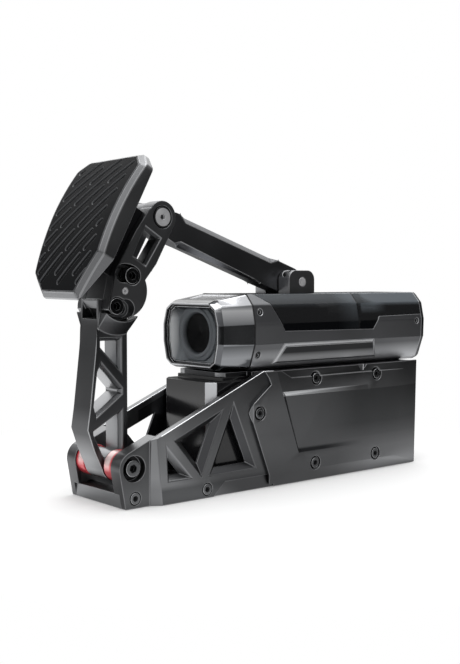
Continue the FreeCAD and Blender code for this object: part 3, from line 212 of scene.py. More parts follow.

# %% [markdown]
# ## Painting light and shade by place
# A product photographer shapes black metal with dark and white cards, so one face turns
# light and its neighbour dark. Much of the cards' light and shade is painted into the colour
# here: a zone is a mask made of limits on the place of a point, and painting changes the
# colour inside the zone. A limit names a value, where the mask is 0 and where it is 1, so two
# close numbers are a sharp line and two far ones a slow fade. Slanted lines are distances from
# a plane. Images could hold the same tones, but they would need an unwrapped mesh and would
# show their dots.

# %% Zones and painting
def steps(owner, operation, *values):
    """A chain of one kind of sum over numbers and sockets."""
    result = values[0]
    for value in values[1:]:
        node = add(owner, "ShaderNodeMath", operation=operation)
        for entry, item in enumerate((result, value)):
            if isinstance(item, (int, float)):
                node.inputs[entry].default_value = item
            else:
                owner.node_tree.links.new(item, node.inputs[entry])
        result = node.outputs[0]
    return result


def unsigned(material, value):
    """A value without its sign."""
    return add(material, "ShaderNodeMath", {0: value}, operation="ABSOLUTE").outputs[0]


def axes_of(material):
    """The x, y and z of a point of the model, as three sockets; y without its sign."""
    split = add(material, "ShaderNodeSeparateXYZ", {0: place(material)})
    return split.outputs["X"], unsigned(material, split.outputs["Y"]), split.outputs["Z"]


def plane_offset(material, axis_a, axis_b, normal, through):
    """Signed distance from a slanted plane: normal . (point - through), in two axes."""
    first = steps(material, "MULTIPLY", steps(material, "SUBTRACT", axis_a, through[0]), normal[0])
    second = steps(material, "MULTIPLY", steps(material, "SUBTRACT", axis_b, through[1]), normal[1])
    return steps(material, "ADD", first, second)


def squared_distance(material, axis_a, axis_b, middle):
    """(a - middle a)^2 + (b - middle b)^2, in two axes."""
    squares = [steps(material, "POWER", steps(material, "SUBTRACT", axis, centre), 2.0)
               for axis, centre in ((axis_a, middle[0]), (axis_b, middle[1]))]
    return steps(material, "ADD", *squares)


def zone(material, *limits):
    """1 inside all the limits, else 0: a limit is (value, where it is 0, where it is 1).

    Two more numbers in a limit stand for other strengths than 0 and 1. A mask or a plain
    strength may take a limit's place.
    """
    masks = [ramp(material, *limit) if isinstance(limit, tuple) else limit for limit in limits]
    return steps(material, "MULTIPLY", *masks)


def paint(material, colour, *limits):
    """Inside all the limits the surface changes to another colour."""
    below = surface(material)["Base Color"].links[0].from_socket
    wire(material, tint(material, zone(material, *limits), below, colour), "Base Color")


print("helpers", [helper.__name__ for helper in (axes_of, plane_offset, zone, paint)])

# %% [markdown]
# ## Blasted and anodised metal
# Milled aluminium is blasted with fine beads and dyed black. Up close it is a matte skin of
# tiny dents, and from a step away it has slow, cloudy changes of gloss. A picture of such a
# surface would blur when the camera comes near, so one function makes all these metals from
# a fine noise for the dents and a wide noise for the clouds.

# %% Metals of the frame and the arm
DENT_DEPTH = 0.00012
CLOUD_SCALE, CLOUD_DETAIL, DENT_DETAIL = 14.0, 4.0, 3.0
DARKER, LIGHTER = 0.85, 1.25


def blasted(name, colour, roughness=0.34, metallic=1.0, grain=2600.0, strength=0.12, cloud=0.06,
            speckle=0.0, **sockets):
    """Fine dents from one noise, and a slow drift of roughness and colour from another."""
    material = start(name, colour, roughness, metallic, **sockets)
    dents = noise(material, grain, DENT_DETAIL)
    clouds = noise(material, CLOUD_SCALE, CLOUD_DETAIL)
    relief(material, dents, strength, DENT_DEPTH)
    wire(material, ramp(material, clouds, *USUAL, roughness - cloud, roughness + cloud), "Roughness")
    mixed = clouds
    if speckle > 0:
        mixed = steps(material, "ADD", clouds, ramp(material, dents, *USUAL, -speckle, speckle))
    darker = tuple(DARKER * c for c in colour)
    lighter = tuple(min(1.0, LIGHTER * c) for c in colour)
    wire(material, tint(material, mixed, darker, lighter), "Base Color")
    return material


plate_black = blasted("plate_black", (0.125, 0.127, 0.131))
cover_black = blasted("cover_black", (0.125, 0.127, 0.131))
arm_black = blasted("arm_black", (0.066, 0.067, 0.070))
rod_black = blasted("rod_black", (0.11, 0.112, 0.118), 0.32)
# the crossbar's black is a lighter copy of the plates': painted light on the bar
lit_bar_black = blasted("lit_bar_black", (0.20, 0.203, 0.209), 0.36)
clevis_black = blasted("clevis_black", (0.155, 0.158, 0.163))
saddle_black = blasted("saddle_black", (0.045, 0.046, 0.048))
tray_black = blasted("tray_black", (0.15, 0.152, 0.157), grain=1900.0, strength=0.2, speckle=0.3)
shell_grey = blasted("shell_grey", (0.21, 0.214, 0.222), 0.46, grain=1700.0, strength=0.2, speckle=0.35)
rear_grey = blasted("rear_grey", (0.052, 0.054, 0.057), 0.36, grain=1700.0, strength=0.15)
cap_grey = blasted("cap_grey", (0.39, 0.395, 0.41), 0.17, strength=0.04, cloud=0.04)
deep_black = blasted("deep_black", (0.022, 0.022, 0.024), 0.42)
print("blasted metals", len(bpy.data.materials))

# %% [markdown]
# ## Screws, edge highlights and rubber
# Screws are steel with a black oxide skin, smoother than blasted aluminium. Each edge gets a
# lighter material of its own, a painted highlight that stands for the light on its fine
# chamfer. The tread is moulded rubber: not a metal, and with hardly any shine.

# %% Screws, edges and tread
def smooth(name, colour, roughness=0.34):
    """Metal with a finer skin, for screws and for the painted highlights on chamfers."""
    return blasted(name, colour, roughness, grain=1500.0, strength=0.05)


oxide_black = smooth("oxide_black", (0.105, 0.107, 0.111), 0.24)
nut_steel = smooth("nut_steel", (0.15, 0.152, 0.157))
# painted highlights: each edge material is lighter than the faces it borders
bright_edge_highlight = smooth("bright_edge_highlight", (0.40, 0.405, 0.415), 0.32)
plate_edge_highlight = smooth("plate_edge_highlight", (0.17, 0.172, 0.178), 0.32)
arm_edge_highlight = smooth("arm_edge_highlight", (0.13, 0.132, 0.136))
soft_edge_highlight = smooth("soft_edge_highlight", (0.26, 0.263, 0.27))
cap_edge_highlight = blasted("cap_edge_highlight", (0.45, 0.456, 0.47), 0.25, strength=0.04)
shell_edge_highlight = blasted("shell_edge_highlight", (0.42, 0.426, 0.44), 0.36, strength=0.1)
tread_rubber = blasted("tread_rubber", (0.005, 0.0053, 0.006), 0.50, 0.0, grain=1800.0, strength=0.2,
                       Specular_IOR_Level=0.04)
# the tread's chamfers get a painted highlight too
tread_edge_highlight = blasted("tread_edge_highlight", (0.045, 0.047, 0.051), 0.40, 0.0, grain=1800.0, strength=0.1)
print("metals, edges and rubber", len(bpy.data.materials))

# %% [markdown]
# ## Painted light and shade on the arm
# The lower arm is a bar with slanted windows. Its side faces are dark, the walls inside its
# windows face the white sweep and are painted a lighter grey, and a painted highlight draws
# one bright line down its front corner. The bent front is two planes, and the distance behind
# the nearer one tells the front strip from the walls.

# %% Arm: painted light and shade
ARM_FRONT_UPPER = ((0.9926, -0.1208), (-0.1814, 0.0605))
ARM_FRONT_LOWER = ((0.9275, 0.3735), (-0.1665, 0.0235))
ARM_TOP = 0.1400


def behind_front(material, x, z):
    """Distance behind the arm's bent front face, in metres."""
    upper = plane_offset(material, x, z, *ARM_FRONT_UPPER)
    lower = plane_offset(material, x, z, *ARM_FRONT_LOWER)
    return steps(material, "MINIMUM", upper, lower)


def tone_arm(material):
    """Painted light on the walls inside the windows, the foot of the front face and the cheeks."""
    x, y, z = axes_of(material)
    into_arm = behind_front(material, x, z)
    off_side = (y, 0.01245, 0.01225)
    # painted light on the walls inside the windows: not on a side face, behind the front strip
    paint(material, (0.27, 0.274, 0.282), off_side, (z, ARM_TOP + 0.0008, ARM_TOP),
          (into_arm, 0.0013, 0.0018), (x, -0.1442, -0.1446))
    # painted light on the front face, lighter towards the hub
    paint(material, (0.25, 0.254, 0.262), off_side, (into_arm, 0.0010, 0.0006), (z, 0.0560, 0.0360))
    # painted light on the cheeks over the round joint
    paint(material, (0.135, 0.137, 0.142), (z, 0.1440, 0.1500))


def tone_arm_edge(material):
    """Painted highlights: lighter edges on the cheeks, and the bright line down the front corner."""
    x, _, z = axes_of(material)
    paint(material, (0.20, 0.203, 0.209), (z, ARM_TOP, 0.1480))
    paint(material, (0.45, 0.456, 0.468), (behind_front(material, x, z), 0.0013, 0.0010),
          (z, ARM_TOP + 0.0008, ARM_TOP))


tone_arm(arm_black)
tone_arm_edge(arm_edge_highlight)
print("nodes in the arm's finish", len(arm_black.node_tree.nodes))

# %% [markdown]
# ## Painted shade in sockets and recesses
# A socket screw is a dark hole in a bright ring, in a recess that is darker than the face
# round it. That shade is painted: the screws' own places, in millimetres from the front edge
# of the base, say where it goes; one mask serves the sockets, and a wider one the recesses.

# %% Screw places and the shade painted in their sockets
COVER_SCREWS = ((132.0, 64.8), (198.8, 90.7), (277.7, 90.1), (197.6, 15.4), (276.3, 15.4))
FOOT_SCREWS = ((9.9, 7.6), (77.0, 7.0))
AXLE_BOLT = (9.0, 31.0)
CLAMP_SCREWS = ((19.6, 180.6), (4.8, 156.8))
SMALL_SOCKET, LARGE_SOCKET, SOCKET_RIM = 2.3, 3.3, 0.7
COVER_RECESS, FOOT_RECESS, BOLT_RECESS = 6.15, 5.4, 10.2


def near_screws(material, spots):
    """1 near any of the screw spots (station, height, radius in mm) on a side, else 0."""
    x, _, z = axes_of(material)
    nearest = 1.0
    for spot_x, spot_z, radius in spots:
        squared = squared_distance(material, x, z, (spot_x / 1000 - ORIGIN_X, spot_z / 1000))
        away = steps(material, "SUBTRACT", steps(material, "POWER", squared, 0.5), radius / 1000)
        nearest = steps(material, "MINIMUM", nearest, away)
    return ramp(material, nearest, 0.00005, -0.00005)


sockets = [(x, z, SMALL_SOCKET) for x, z in COVER_SCREWS + FOOT_SCREWS]
sockets += [(x, z, LARGE_SOCKET) for x, z in (AXLE_BOLT,) + CLAMP_SCREWS]
socket_rims = [(x, z, radius + SOCKET_RIM) for x, z, radius in sockets]
_, _, oxide_z = axes_of(oxide_black)
# the screws higher than 14 cm are darker
paint(oxide_black, (0.036, 0.037, 0.039), (oxide_z, 0.140, 0.145))
# painted shade in the sockets
paint(oxide_black, (0.006, 0.006, 0.0065), near_screws(oxide_black, sockets))
# painted shade on the highlight chamfer round each socket's mouth
paint(bright_edge_highlight, (0.05, 0.051, 0.053), near_screws(bright_edge_highlight, socket_rims))
print("sockets", len(sockets))

# %% [markdown]
# ## Painted light and shade on the side covers
# Each cover is a thick lid with a bevel all round and a sunk panel that starts with a
# slanted step. A painted highlight makes the bevel shine at the front and fade to the rear,
# the step and the panel's lower edge are lines of painted shade, and the panel itself is
# painted from mid grey to dark and back to a lighter grey low at the rear.

# %% Side covers: painted light and shade
PANEL_TOP, PANEL_FOOT, BEVEL_TOP = 0.0768, 0.0262, 0.0810
PANEL_STEP = ((0.943, 0.331), (-0.0072, 0.0809))
PAINTED_SHADE = (0.012, 0.012, 0.013)


def tone_cover(material):
    """Painted light and shade from the bevel down to the panel's lower edge, and the screw recesses last."""
    x, _, z = axes_of(material)
    step = plane_offset(material, x, z, *PANEL_STEP)
    over_foot = (z, PANEL_FOOT, PANEL_FOOT + 0.0008)
    # painted highlight on the bevel over the panel, bright at the front
    paint(material, (0.66, 0.67, 0.685), (z, PANEL_TOP, PANEL_TOP + 0.0002),
          (z, BEVEL_TOP + 0.0002, BEVEL_TOP), (x, -0.0076, -0.0072), (x, 0.088, 0.000))
    # painted shade in the slanted step at the panel's front
    paint(material, PAINTED_SHADE, (step, -0.0001, 0.0002), (step, 0.0022, 0.0012),
          (z, PANEL_TOP, PANEL_TOP - 0.0008), over_foot)
    # painted shade along the panel's lower edge, fading to the rear
    paint(material, (0.03, 0.031, 0.033), (z, 0.0310, 0.0290), over_foot, (step, 0.0002, 0.0006),
          (x, 0.095, 0.045))
    # painted shade on the upper rear of the panel, then painted light on its lower rear
    paint(material, (0.085, 0.087, 0.090), (x, 0.030, 0.085), (z, 0.032, 0.046),
          (z, PANEL_TOP, PANEL_TOP - 0.0006))
    paint(material, (0.205, 0.208, 0.214), (x, 0.060, 0.105), (z, 0.034, 0.022))
    # painted light on the lid in front of the panel, lighter to the top
    paint(material, (0.175, 0.178, 0.183), (step, -0.0001, -0.0004), (z, 0.045, 0.065))
    # painted shade in the screw recesses
    recesses = [(x_mm, z_mm, COVER_RECESS) for x_mm, z_mm in COVER_SCREWS]
    paint(material, PAINTED_SHADE, near_screws(material, recesses))


tone_cover(cover_black)
print("nodes in the covers' finish", len(cover_black.node_tree.nodes))

# %% [markdown]
# ## Painted light and shade on the side plates
# The side plates are milled from thick bar. Painted light makes the truss catch more light
# towards the front, painted shade darkens its windows' bevels, the slanted jog beside the
# boss is painted lighter, and the boss and the band along the foot are painted darker. A
# painted highlight makes the long slanted top edge the brightest line on the whole machine.

# %% Side plates: painted light and shade
TOP_SLOPE = ((-0.3859, 0.9225), (-0.0269, 0.0955))


def tone_plate(material):
    """Painted light and shade: truss, windows, jog, foot band, boss, front edge and recesses, in that order.
    """
    x, y, z = axes_of(material)
    under_top = plane_offset(material, x, z, *TOP_SLOPE)
    # painted light: the truss gets lighter towards the front
    paint(material, (0.175, 0.178, 0.183), (x, -0.075, -0.125))
    # painted shade on the windows' bevels, which lie under the outer face
    paint(material, (0.06, 0.061, 0.064), (y, 0.04455, 0.04410), (x, -0.100, -0.098), (z, 0.0112, 0.0118),
          (under_top, -0.0006, -0.0012))
    # painted light on the slanted jog between the boss and the truss
    paint(material, (0.225, 0.229, 0.235), (y, 0.0391, 0.0400), (x, -0.112, -0.125), (z, 0.013, 0.022))
    # painted shade on the band along the foot, on the outer face
    paint(material, (0.085, 0.087, 0.090), (y, 0.0445, 0.0446), (z, 0.0150, 0.0110))
    # painted shade on the boss's flat face, and on the plate's front edge
    paint(material, (0.098, 0.100, 0.103), (y, 0.0384, 0.0388), (y, 0.0394, 0.0391))
    paint(material, (0.095, 0.096, 0.10), (x, -0.1635, -0.1643))
    # painted shade in the screw and bolt recesses
    recesses = [(x_mm, z_mm, FOOT_RECESS) for x_mm, z_mm in FOOT_SCREWS]
    recesses += [(*AXLE_BOLT, BOLT_RECESS)]
    paint(material, (0.018, 0.018, 0.019), near_screws(material, recesses))


def tone_plate_edge(material):
    """A painted highlight: the bright line along the slanted top of the truss."""
    x, _, z = axes_of(material)
    paint(material, (0.85, 0.86, 0.88), (plane_offset(material, x, z, *TOP_SLOPE), -0.0014, -0.0008),
          (x, -0.1345, -0.1335))


tone_plate(plate_black)
tone_plate_edge(plate_edge_highlight)
print("nodes in the side plates' finish", len(plate_black.node_tree.nodes))

# %% [markdown]
# ## Painted light on the small parts
# Painted light makes the rear cap lighter towards its foot and gives the clevis one bright
# front face, and a painted highlight makes the saddle plate's slanted corners shine. Each
# needs only one zone.

# %% Rear cap, clevis and saddle plate: painted light
SADDLE_CORNER = ((-0.9487, 0.3162), (-0.061, 0.022))
saddle_x, saddle_y, _ = axes_of(saddle_black)
saddle_corner = unsigned(saddle_black, plane_offset(saddle_black, saddle_x, saddle_y, *SADDLE_CORNER))
# painted highlight on the saddle plate's slanted corners
paint(saddle_black, (0.34, 0.345, 0.355), (saddle_corner, 0.0004, 0.0002))
_, _, rear_z = axes_of(rear_grey)
# painted light on the rear cap, lighter towards its foot
paint(rear_grey, (0.13, 0.132, 0.137), (rear_z, 0.132, 0.112, 0.0, 0.8))
clevis_x, _, _ = axes_of(clevis_black)
# painted light on the clevis's front face
paint(clevis_black, (0.38, 0.386, 0.398), (clevis_x, 0.0236, 0.0233))
print("nodes in the saddle plate's finish", len(saddle_black.node_tree.nodes))

# %% [markdown]
# ## Painted light, shade and reflections on the tube and its front cap
# The tube's shell is blasted grey. Painted shade makes it darkest on its upper flank and
# painted light makes it light underneath, and a raised ridge runs along its side, with a
# painted bright border and a face painted nearly black. The cap is turned and polished, and
# its mirroring of the cards is painted in level bands: a white shoulder, a grey flank, a black
# band at mid height, and a darker ring at its front.

# %% Tube shell and front cap: painted light, shade and reflections
RIDGE_FACE = ((0.943, -0.332), (0.0335, 0.1024))
CAP_REFLECTION_BANDS = (((0.97, 0.98, 1.0), 0.1545, 0.1515), ((0.34, 0.35, 0.37), 0.1510, 0.1390),
             ((0.10, 0.104, 0.11), 0.1235, 0.1215), ((0.31, 0.32, 0.335), 0.1220, 0.1120))


def tone_shell(material):
    """Painted light and shade in bands from the upper flank down, then the ridge: its border and its face."""
    _, y, z = axes_of(material)
    proud = plane_offset(material, y, z, *RIDGE_FACE)
    # painted shade on the flank and its lower half, and painted light on the underside
    paint(material, (0.112, 0.114, 0.12), (z, 0.1575, 0.1550))
    paint(material, (0.17, 0.173, 0.18), (z, 0.142, 0.137))
    paint(material, (0.66, 0.67, 0.69), (z, 0.118, 0.105))
    # the ridge stands proud of the flank: a painted highlight on its border first, then painted shade on its
    # face
    paint(material, (0.97, 0.98, 1.0), (proud, 0.00008, 0.00016), (z, 0.108, 0.118, 0.25, 1.0))
    paint(material, (0.04, 0.041, 0.043), (proud, 0.00125, 0.00140), (z, 0.1045, 0.114))


def tone_cap(material):
    """Painted reflections in level bands from the shoulder down, and painted shade on the front ring and the
    strips round the mouth's top.
    """
    x, y, z = axes_of(material)
    # painted reflections: white shoulder, grey flank, black band and lighter foot, each from its upper limit
    # down
    for colour, upper, lower in CAP_REFLECTION_BANDS:
        paint(material, colour, (z, upper, lower))
    # painted shade on the ring at the front, over the mouth, and on the roof of the mouth
    paint(material, (0.16, 0.165, 0.175), (z, 0.1560, 0.1500), (x, -0.0660, -0.0664))
    paint(material, (0.022, 0.023, 0.025), (z, 0.1570, 0.1575), (y, 0.0300, 0.0292), (x, -0.0630, -0.0636))
    paint(material, (0.03, 0.031, 0.033), (z, 0.1578, 0.1574), (y, 0.0270, 0.0255), (z, 0.148, 0.150))


tone_shell(shell_grey)
tone_cap(cap_grey)
print("nodes in the cap's finish", len(cap_grey.node_tree.nodes))

# %% [markdown]
# ## Bright metals and red rings
# Ground steel is bright, with fine turning marks. The pins are duller turned steel, and
# painted shade darkens the top bolt's socket and a groove round it. The hub rings are
# aluminium dyed red, which tints their reflections, and their upper part carries a pale
# gleam, a painted highlight set by place too.

# %% Bright metals
MARK_DEPTH = 0.0001
TOP_BOLT = (48.8, 227.7)

ground_steel = start("ground_steel", (0.74, 0.74, 0.75), 0.38, 1.0)
relief(ground_steel, noise(ground_steel, 1800.0), 0.08, MARK_DEPTH)


def pin_finish():
    """Turned steel: a mottled tone, and painted shade in the socket and in a groove round the top bolt."""
    material = start("pin_steel", (0.62, 0.62, 0.63), 0.34, 0.35)
    relief(material, noise(material, 1500.0), 0.1, MARK_DEPTH)
    mottled = tint(material, noise(material, 120.0, 3.0), (0.25, 0.25, 0.26), (0.78, 0.78, 0.79))
    wire(material, mottled, "Base Color")
    x, _, z = axes_of(material)
    middle = (TOP_BOLT[0] / 1000 - ORIGIN_X, TOP_BOLT[1] / 1000)
    from_bolt = squared_distance(material, x, z, middle)
    # painted shade, in squared radii as the distance is squared: the socket, then the groove's two edges
    paint(material, (0.05, 0.05, 0.052), (from_bolt, 0.0021 ** 2, 0.0017 ** 2))
    paint(material, (0.02, 0.02, 0.021), (from_bolt, 0.0072 ** 2, 0.0074 ** 2),
          (from_bolt, 0.0120 ** 2, 0.0110 ** 2))
    return material


def red_finish():
    """Red dye over metal, with a painted highlight on the upper part of each ring."""
    material = start("red_anodised", (0.62, 0.012, 0.022), 0.28, 0.35)
    dye = tint(material, noise(material, 60.0, 3.0), (0.50, 0.028, 0.040), (0.66, 0.045, 0.060))
    wire(material, dye, "Base Color")
    x, y, z = axes_of(material)
    # painted highlight: a pale gleam on the upper front of each ring
    paint(material, (0.97, 0.78, 0.76), (z, 0.0270, 0.0350, 0.0, 0.95), (y, 0.0135, 0.0165),
          (y, 0.0240, 0.0215), (x, -0.1565, -0.1600))
    return material


pin_steel = pin_finish()
red_anodised = red_finish()
print("bright metals", [m.name for m in (ground_steel, pin_steel, red_anodised)])

# %% [markdown]
# ## Gloss black and smoked plastics
# The lower housing is gloss black, and a painted highlight on its front corners is made as a
# bright metal. The tube's top is a tinted clear plastic: part of the light goes through, the
# metal inside is painted in as a paler patch behind the slot, and painted reflections of the
# white above pale its crown. The join between its two lengths is a dark line and a fine
# groove. The front window is almost clear. Each finish starts from a plain plastic, and zones
# do the rest.

# %% Plastics
HOUSING_CORNER = ((0.7071, -0.7071), (-0.0765, 0.027))
COVER_JOINT = 0.0955
SMOKE, INSIDE_AND_REFLECTION = (0.003, 0.0034, 0.0042), (0.11, 0.125, 0.14)


def gloss_finish():
    """Black lacquer with slow ripples; a painted highlight on the front corners is made as a bright metal."""
    material = start("gloss_black", (0.008, 0.008, 0.009), 0.16)
    ripple = noise(material, 30.0)
    relief(material, ripple, 0.05, 0.0004)
    wire(material, tint(material, ripple, (0.006, 0.006, 0.007), (0.010, 0.010, 0.011)), "Base Color")
    x, y, z = axes_of(material)
    corner = unsigned(material, plane_offset(material, x, y, *HOUSING_CORNER))
    # painted highlight: the front corners become a bright metal
    corner_highlight = zone(material, (corner, 0.00030, 0.00020), (z, 0.058, 0.060))
    paint(material, (0.62, 0.63, 0.65), corner_highlight)
    wire(material, corner_highlight, "Metallic")
    wire(material, ramp(material, corner_highlight, 0.0, 1.0, 0.16, 0.36), "Roughness")
    return material


def smoked_finish():
    """Tinted plastic whose pale parts are painted in for the metal inside and as reflections of the white
    above.
    """
    material = start("smoked", SMOKE, 0.08, Alpha=0.86, Specular_IOR_Level=0.3)
    haze = noise(material, 22.0, 3.0)
    wire(material, ramp(material, haze, *USUAL, 0.05, 0.13), "Roughness")
    x, _, z = axes_of(material)
    # painted reflection of the white above on the crown, hazy towards the rear
    crown = ramp(material, z, 0.153, 0.162)
    hazy_rear = zone(material, (x, 0.104, 0.125), crown, haze, 3.2)
    whole_crown = zone(material, crown, 0.50)
    # pale patches low at the rear and behind the slot, where the metal inside is painted in
    low_patch = zone(material, (x, 0.0990, 0.1010, 0.0, 0.5), (x, 0.135, 0.118), (z, 0.1460, 0.1515),
                     (z, 0.1565, 0.1555))
    behind_slot = zone(material, (x, 0.068, 0.090), (x, COVER_JOINT + 0.0002, COVER_JOINT - 0.0002),
                       (z, 0.139, 0.160, 0.15, 1.0), 0.55)
    pale = steps(material, "ADD", hazy_rear, whole_crown, low_patch, behind_slot)
    from_joint = unsigned(material, steps(material, "SUBTRACT", x, COVER_JOINT))
    pale = zone(material, pale, (from_joint, 0.0006, 0.0011))
    wire(material, tint(material, pale, SMOKE, INSIDE_AND_REFLECTION), "Base Color")
    relief(material, ramp(material, from_joint, 0.0, 0.0007), 0.8, 0.0012)
    return material


gloss_black = gloss_finish()
smoked = smoked_finish()
lens_glass = start("lens_glass", (0.004, 0.005, 0.006), 0.05, Alpha=0.1, Specular_IOR_Level=0.06)
wire(lens_glass, ramp(lens_glass, noise(lens_glass, 16.0), *USUAL, 0.03, 0.09), "Roughness")
print("nodes in the smoked finish", len(smoked.node_tree.nodes))

# %% [markdown]
# ## Belt and board
# The toothed belt is woven rubber, and the motor's board is a green lacquer over copper
# tracks. Both sit inside the machine, so a fine weave and a cell pattern are enough.

# %% Belt and board
belt_rubber = start("belt_rubber", (0.012, 0.012, 0.012), 0.7)
relief(belt_rubber, noise(belt_rubber, 900.0), 0.3, 0.0002)

board_green = start("board_green", (0.01, 0.06, 0.03), 0.35)
cells = add(board_green, "ShaderNodeTexVoronoi", {"Vector": place(board_green)}, Scale=260.0)
tracks = ramp(board_green, cells.outputs["Distance"], 0.1, 0.5)
wire(board_green, tint(board_green, tracks, (0.02, 0.10, 0.05), (0.008, 0.05, 0.025)), "Base Color")
print("finishes so far", len(bpy.data.materials))

# %% [markdown]
# ## Soft edges on the machined pieces
# A milled edge is never a perfect corner: it is broken by a fine chamfer that catches the
# light, and those thin bright lines are most of what the eye reads on black metal. The
# solids could carry the chamfers themselves, but these are too fine for them. So a copy of
# each imported node is made, its doubled points are merged, and a Bevel modifier breaks every
# corner sharper than a set angle and gives the chamfer a lighter material where the finish has
# one, a painted highlight. The copy then stands for the node.

# %% Dress a imported node
MERGE_WITHIN = 2e-6
CHAMFER_SEGMENTS = 2


def dress(node, material, edge, corner, edge_highlight):
    """A welded copy of a node with broken edges, painted highlight on them if given, riding on the node's
    body.
    """
    mesh = nodes[node].data.copy()
    work = bmesh.new()
    work.from_mesh(mesh)
    bmesh.ops.remove_doubles(work, verts=work.verts, dist=MERGE_WITHIN)
    work.to_mesh(mesh)
    work.free()
    mesh.materials.clear()
    mesh.materials.append(material)
    if edge_highlight is not None:
        mesh.materials.append(edge_highlight)
    for polygon in mesh.polygons:
        polygon.use_smooth = True
        polygon.material_index = 0
    piece = bpy.data.objects.new(node + "_dressed", mesh)
    scene.collection.objects.link(piece)
    bevel = piece.modifiers.new("broken_edges", "BEVEL")
    bevel.width = edge
    bevel.segments = CHAMFER_SEGMENTS
    bevel.limit_method = "ANGLE"
    bevel.angle_limit = math.radians(corner)
    bevel.use_clamp_overlap = False
    bevel.loop_slide = False
    bevel.material = 1 if edge_highlight is not None else -1
    normals = piece.modifiers.new("face_normals", "WEIGHTED_NORMAL")
    normals.keep_sharp = True
    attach(piece, bodies[node])
    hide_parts(node)
    return piece


print("chamfers have", CHAMFER_SEGMENTS, "segments")

# %% [markdown]
# ## Which piece gets which finish
# One table gives each finish its pieces, one gives each finish the lighter material of its
# edges, a painted highlight, and one gives the chamfers in metres: large milled parts have
# broad ones, small screws have fine ones, and a piece that isn't named there has a common
# one. The covers have a wider limit angle than the other pieces, so their shallow corners stay
# as they are.

# %% Finishes, edges and the dressed pieces
finishes = {
    lit_bar_black: ["front_crossbar"],
    saddle_black: ["saddle_plate"],
    plate_black: ["side_plate_left", "side_plate_right", "base_plate", "rear_panel"],
    cover_black: ["motor_cover_left", "motor_cover_right"],
    arm_black: ["lower_arm", "upper_arm_left", "upper_arm_right"],
    rod_black: ["link_rod"],
    clevis_black: ["clevis"],
    tread_rubber: ["tread_pad"],
    tray_black: ["foot_plate"],
    shell_grey: ["tube_shell"],
    rear_grey: ["rear_cap"],
    cap_grey: ["front_cap"],
    deep_black: ["carriage_block", "pedal_bracket", "front_bearing_block", "rear_bearing_block",
                 "motor_frame", "motor_end_bell", "power_socket", "data_sockets", "board_standoffs"],
    oxide_black: ["axle_bolts", "frame_screws", "cover_screws", "tube_screws", "arm_clamp_screws",
                  "clevis_screws", "pedal_screws"],
    pin_steel: ["top_pivot_bolt", "clevis_pin", "arm_centre_screws"],
    ground_steel: ["pivot_axle", "guide_rods", "ball_screw", "motor_rotor", "motor_stator", "hub_bearings",
                   "rod_bearings", "screw_bearings", "motor_bearings", "motor_pulley", "screw_pulley"],
    nut_steel: ["load_cell", "ball_nut"],
    red_anodised: ["bearing_flange_left", "bearing_flange_right"],
    gloss_black: ["belt_housing"],
    smoked: ["tube_top_cover"],
    lens_glass: ["front_lens"],
    belt_rubber: ["drive_belt"],
    board_green: ["controller_board"],
}
# each finish's lighter chamfer material, a painted highlight
edge_highlights = {
    plate_black: plate_edge_highlight, arm_black: arm_edge_highlight, oxide_black: bright_edge_highlight, cap_grey: cap_edge_highlight,
    shell_grey: shell_edge_highlight, rear_grey: shell_edge_highlight, tread_rubber: tread_edge_highlight, saddle_black: soft_edge_highlight,
    clevis_black: soft_edge_highlight, lit_bar_black: soft_edge_highlight, cover_black: soft_edge_highlight, rod_black: soft_edge_highlight,
    tray_black: soft_edge_highlight, nut_steel: soft_edge_highlight,
}
chamfers = {
    0.0009: ["foot_plate"],
    0.0006: ["belt_housing", "side_plate_left", "side_plate_right", "lower_arm", "upper_arm_left",
             "upper_arm_right", "link_rod", "clevis", "front_crossbar"],
    0.0005: ["motor_cover_left", "motor_cover_right", "front_cap", "tube_shell"],
    0.0004: ["axle_bolts", "arm_clamp_screws"],
    0.0003: ["cover_screws", "frame_screws", "tube_top_cover"],
    0.0002: ["tube_screws", "clevis_screws", "arm_centre_screws"],
}
COMMON_CHAMFER = 0.00035
COMMON_CORNER, COVER_CORNER = 32.0, 42.0
chamfer_of = {node: width for width, names in chamfers.items() for node in names}
dressed = {}
for finish, names in finishes.items():
    corner = COVER_CORNER if finish is cover_black else COMMON_CORNER
    for node in names:
        width = chamfer_of.get(node, COMMON_CHAMFER)
        dressed[node] = dress(node, finish, width, corner, edge_highlights.get(finish))
print("dressed", len(dressed), "of", len(nodes))

# %% [markdown]
# ## Rings round the tube and behind the lens
# A gasket, a seam ring and the reflector behind the lens are all the same thing: a closed
# profile carried round the tube's axis, at a distance that follows a rounded many-sided
# outline. They could be cut from solids, but one function makes them all from the outline's
# planes, and its arrays need no loop over points.

# %% Rings that follow an outline
AXIS_Z = 132.0
LENS_HALF = [(26.0, 157.5), (33.5, 152.5), (37.7, 139.0), (37.5, 124.0), (33.5, 108.0), (27.0, 103.8)]
TUBE_HALF = [(29.1, 165.2), (37.5, 155.9), (41.0, 139.5), (40.5, 122.3), (33.5, 102.4), (27.5, 99.5)]
RING_SIDES = 288
RING_CORNER = 28.0
ALMOST_LEVEL, FAR_OFF = 1e-6, 1e9


def reach(half, angle, inset):
    """Distance from the axis to the outline at each angle: least of offset / (normal . direction)."""
    points = np.array(half + [(-y, z) for y, z in reversed(half)]) - (0.0, AXIS_Z)
    along = np.roll(points, -1, axis=0) - points
    normal = np.stack([-along[:, 1], along[:, 0]], -1) / np.linalg.norm(along, axis=1, keepdims=True)
    offset = (normal * points).sum(1)
    normal, offset = normal * np.sign(offset)[:, None], np.abs(offset) - inset
    towards = normal @ np.stack([np.cos(angle), np.sin(angle)])
    away = offset[:, None] / np.maximum(towards, ALMOST_LEVEL)
    return np.where(towards > ALMOST_LEVEL, away, FAR_OFF).min(0)


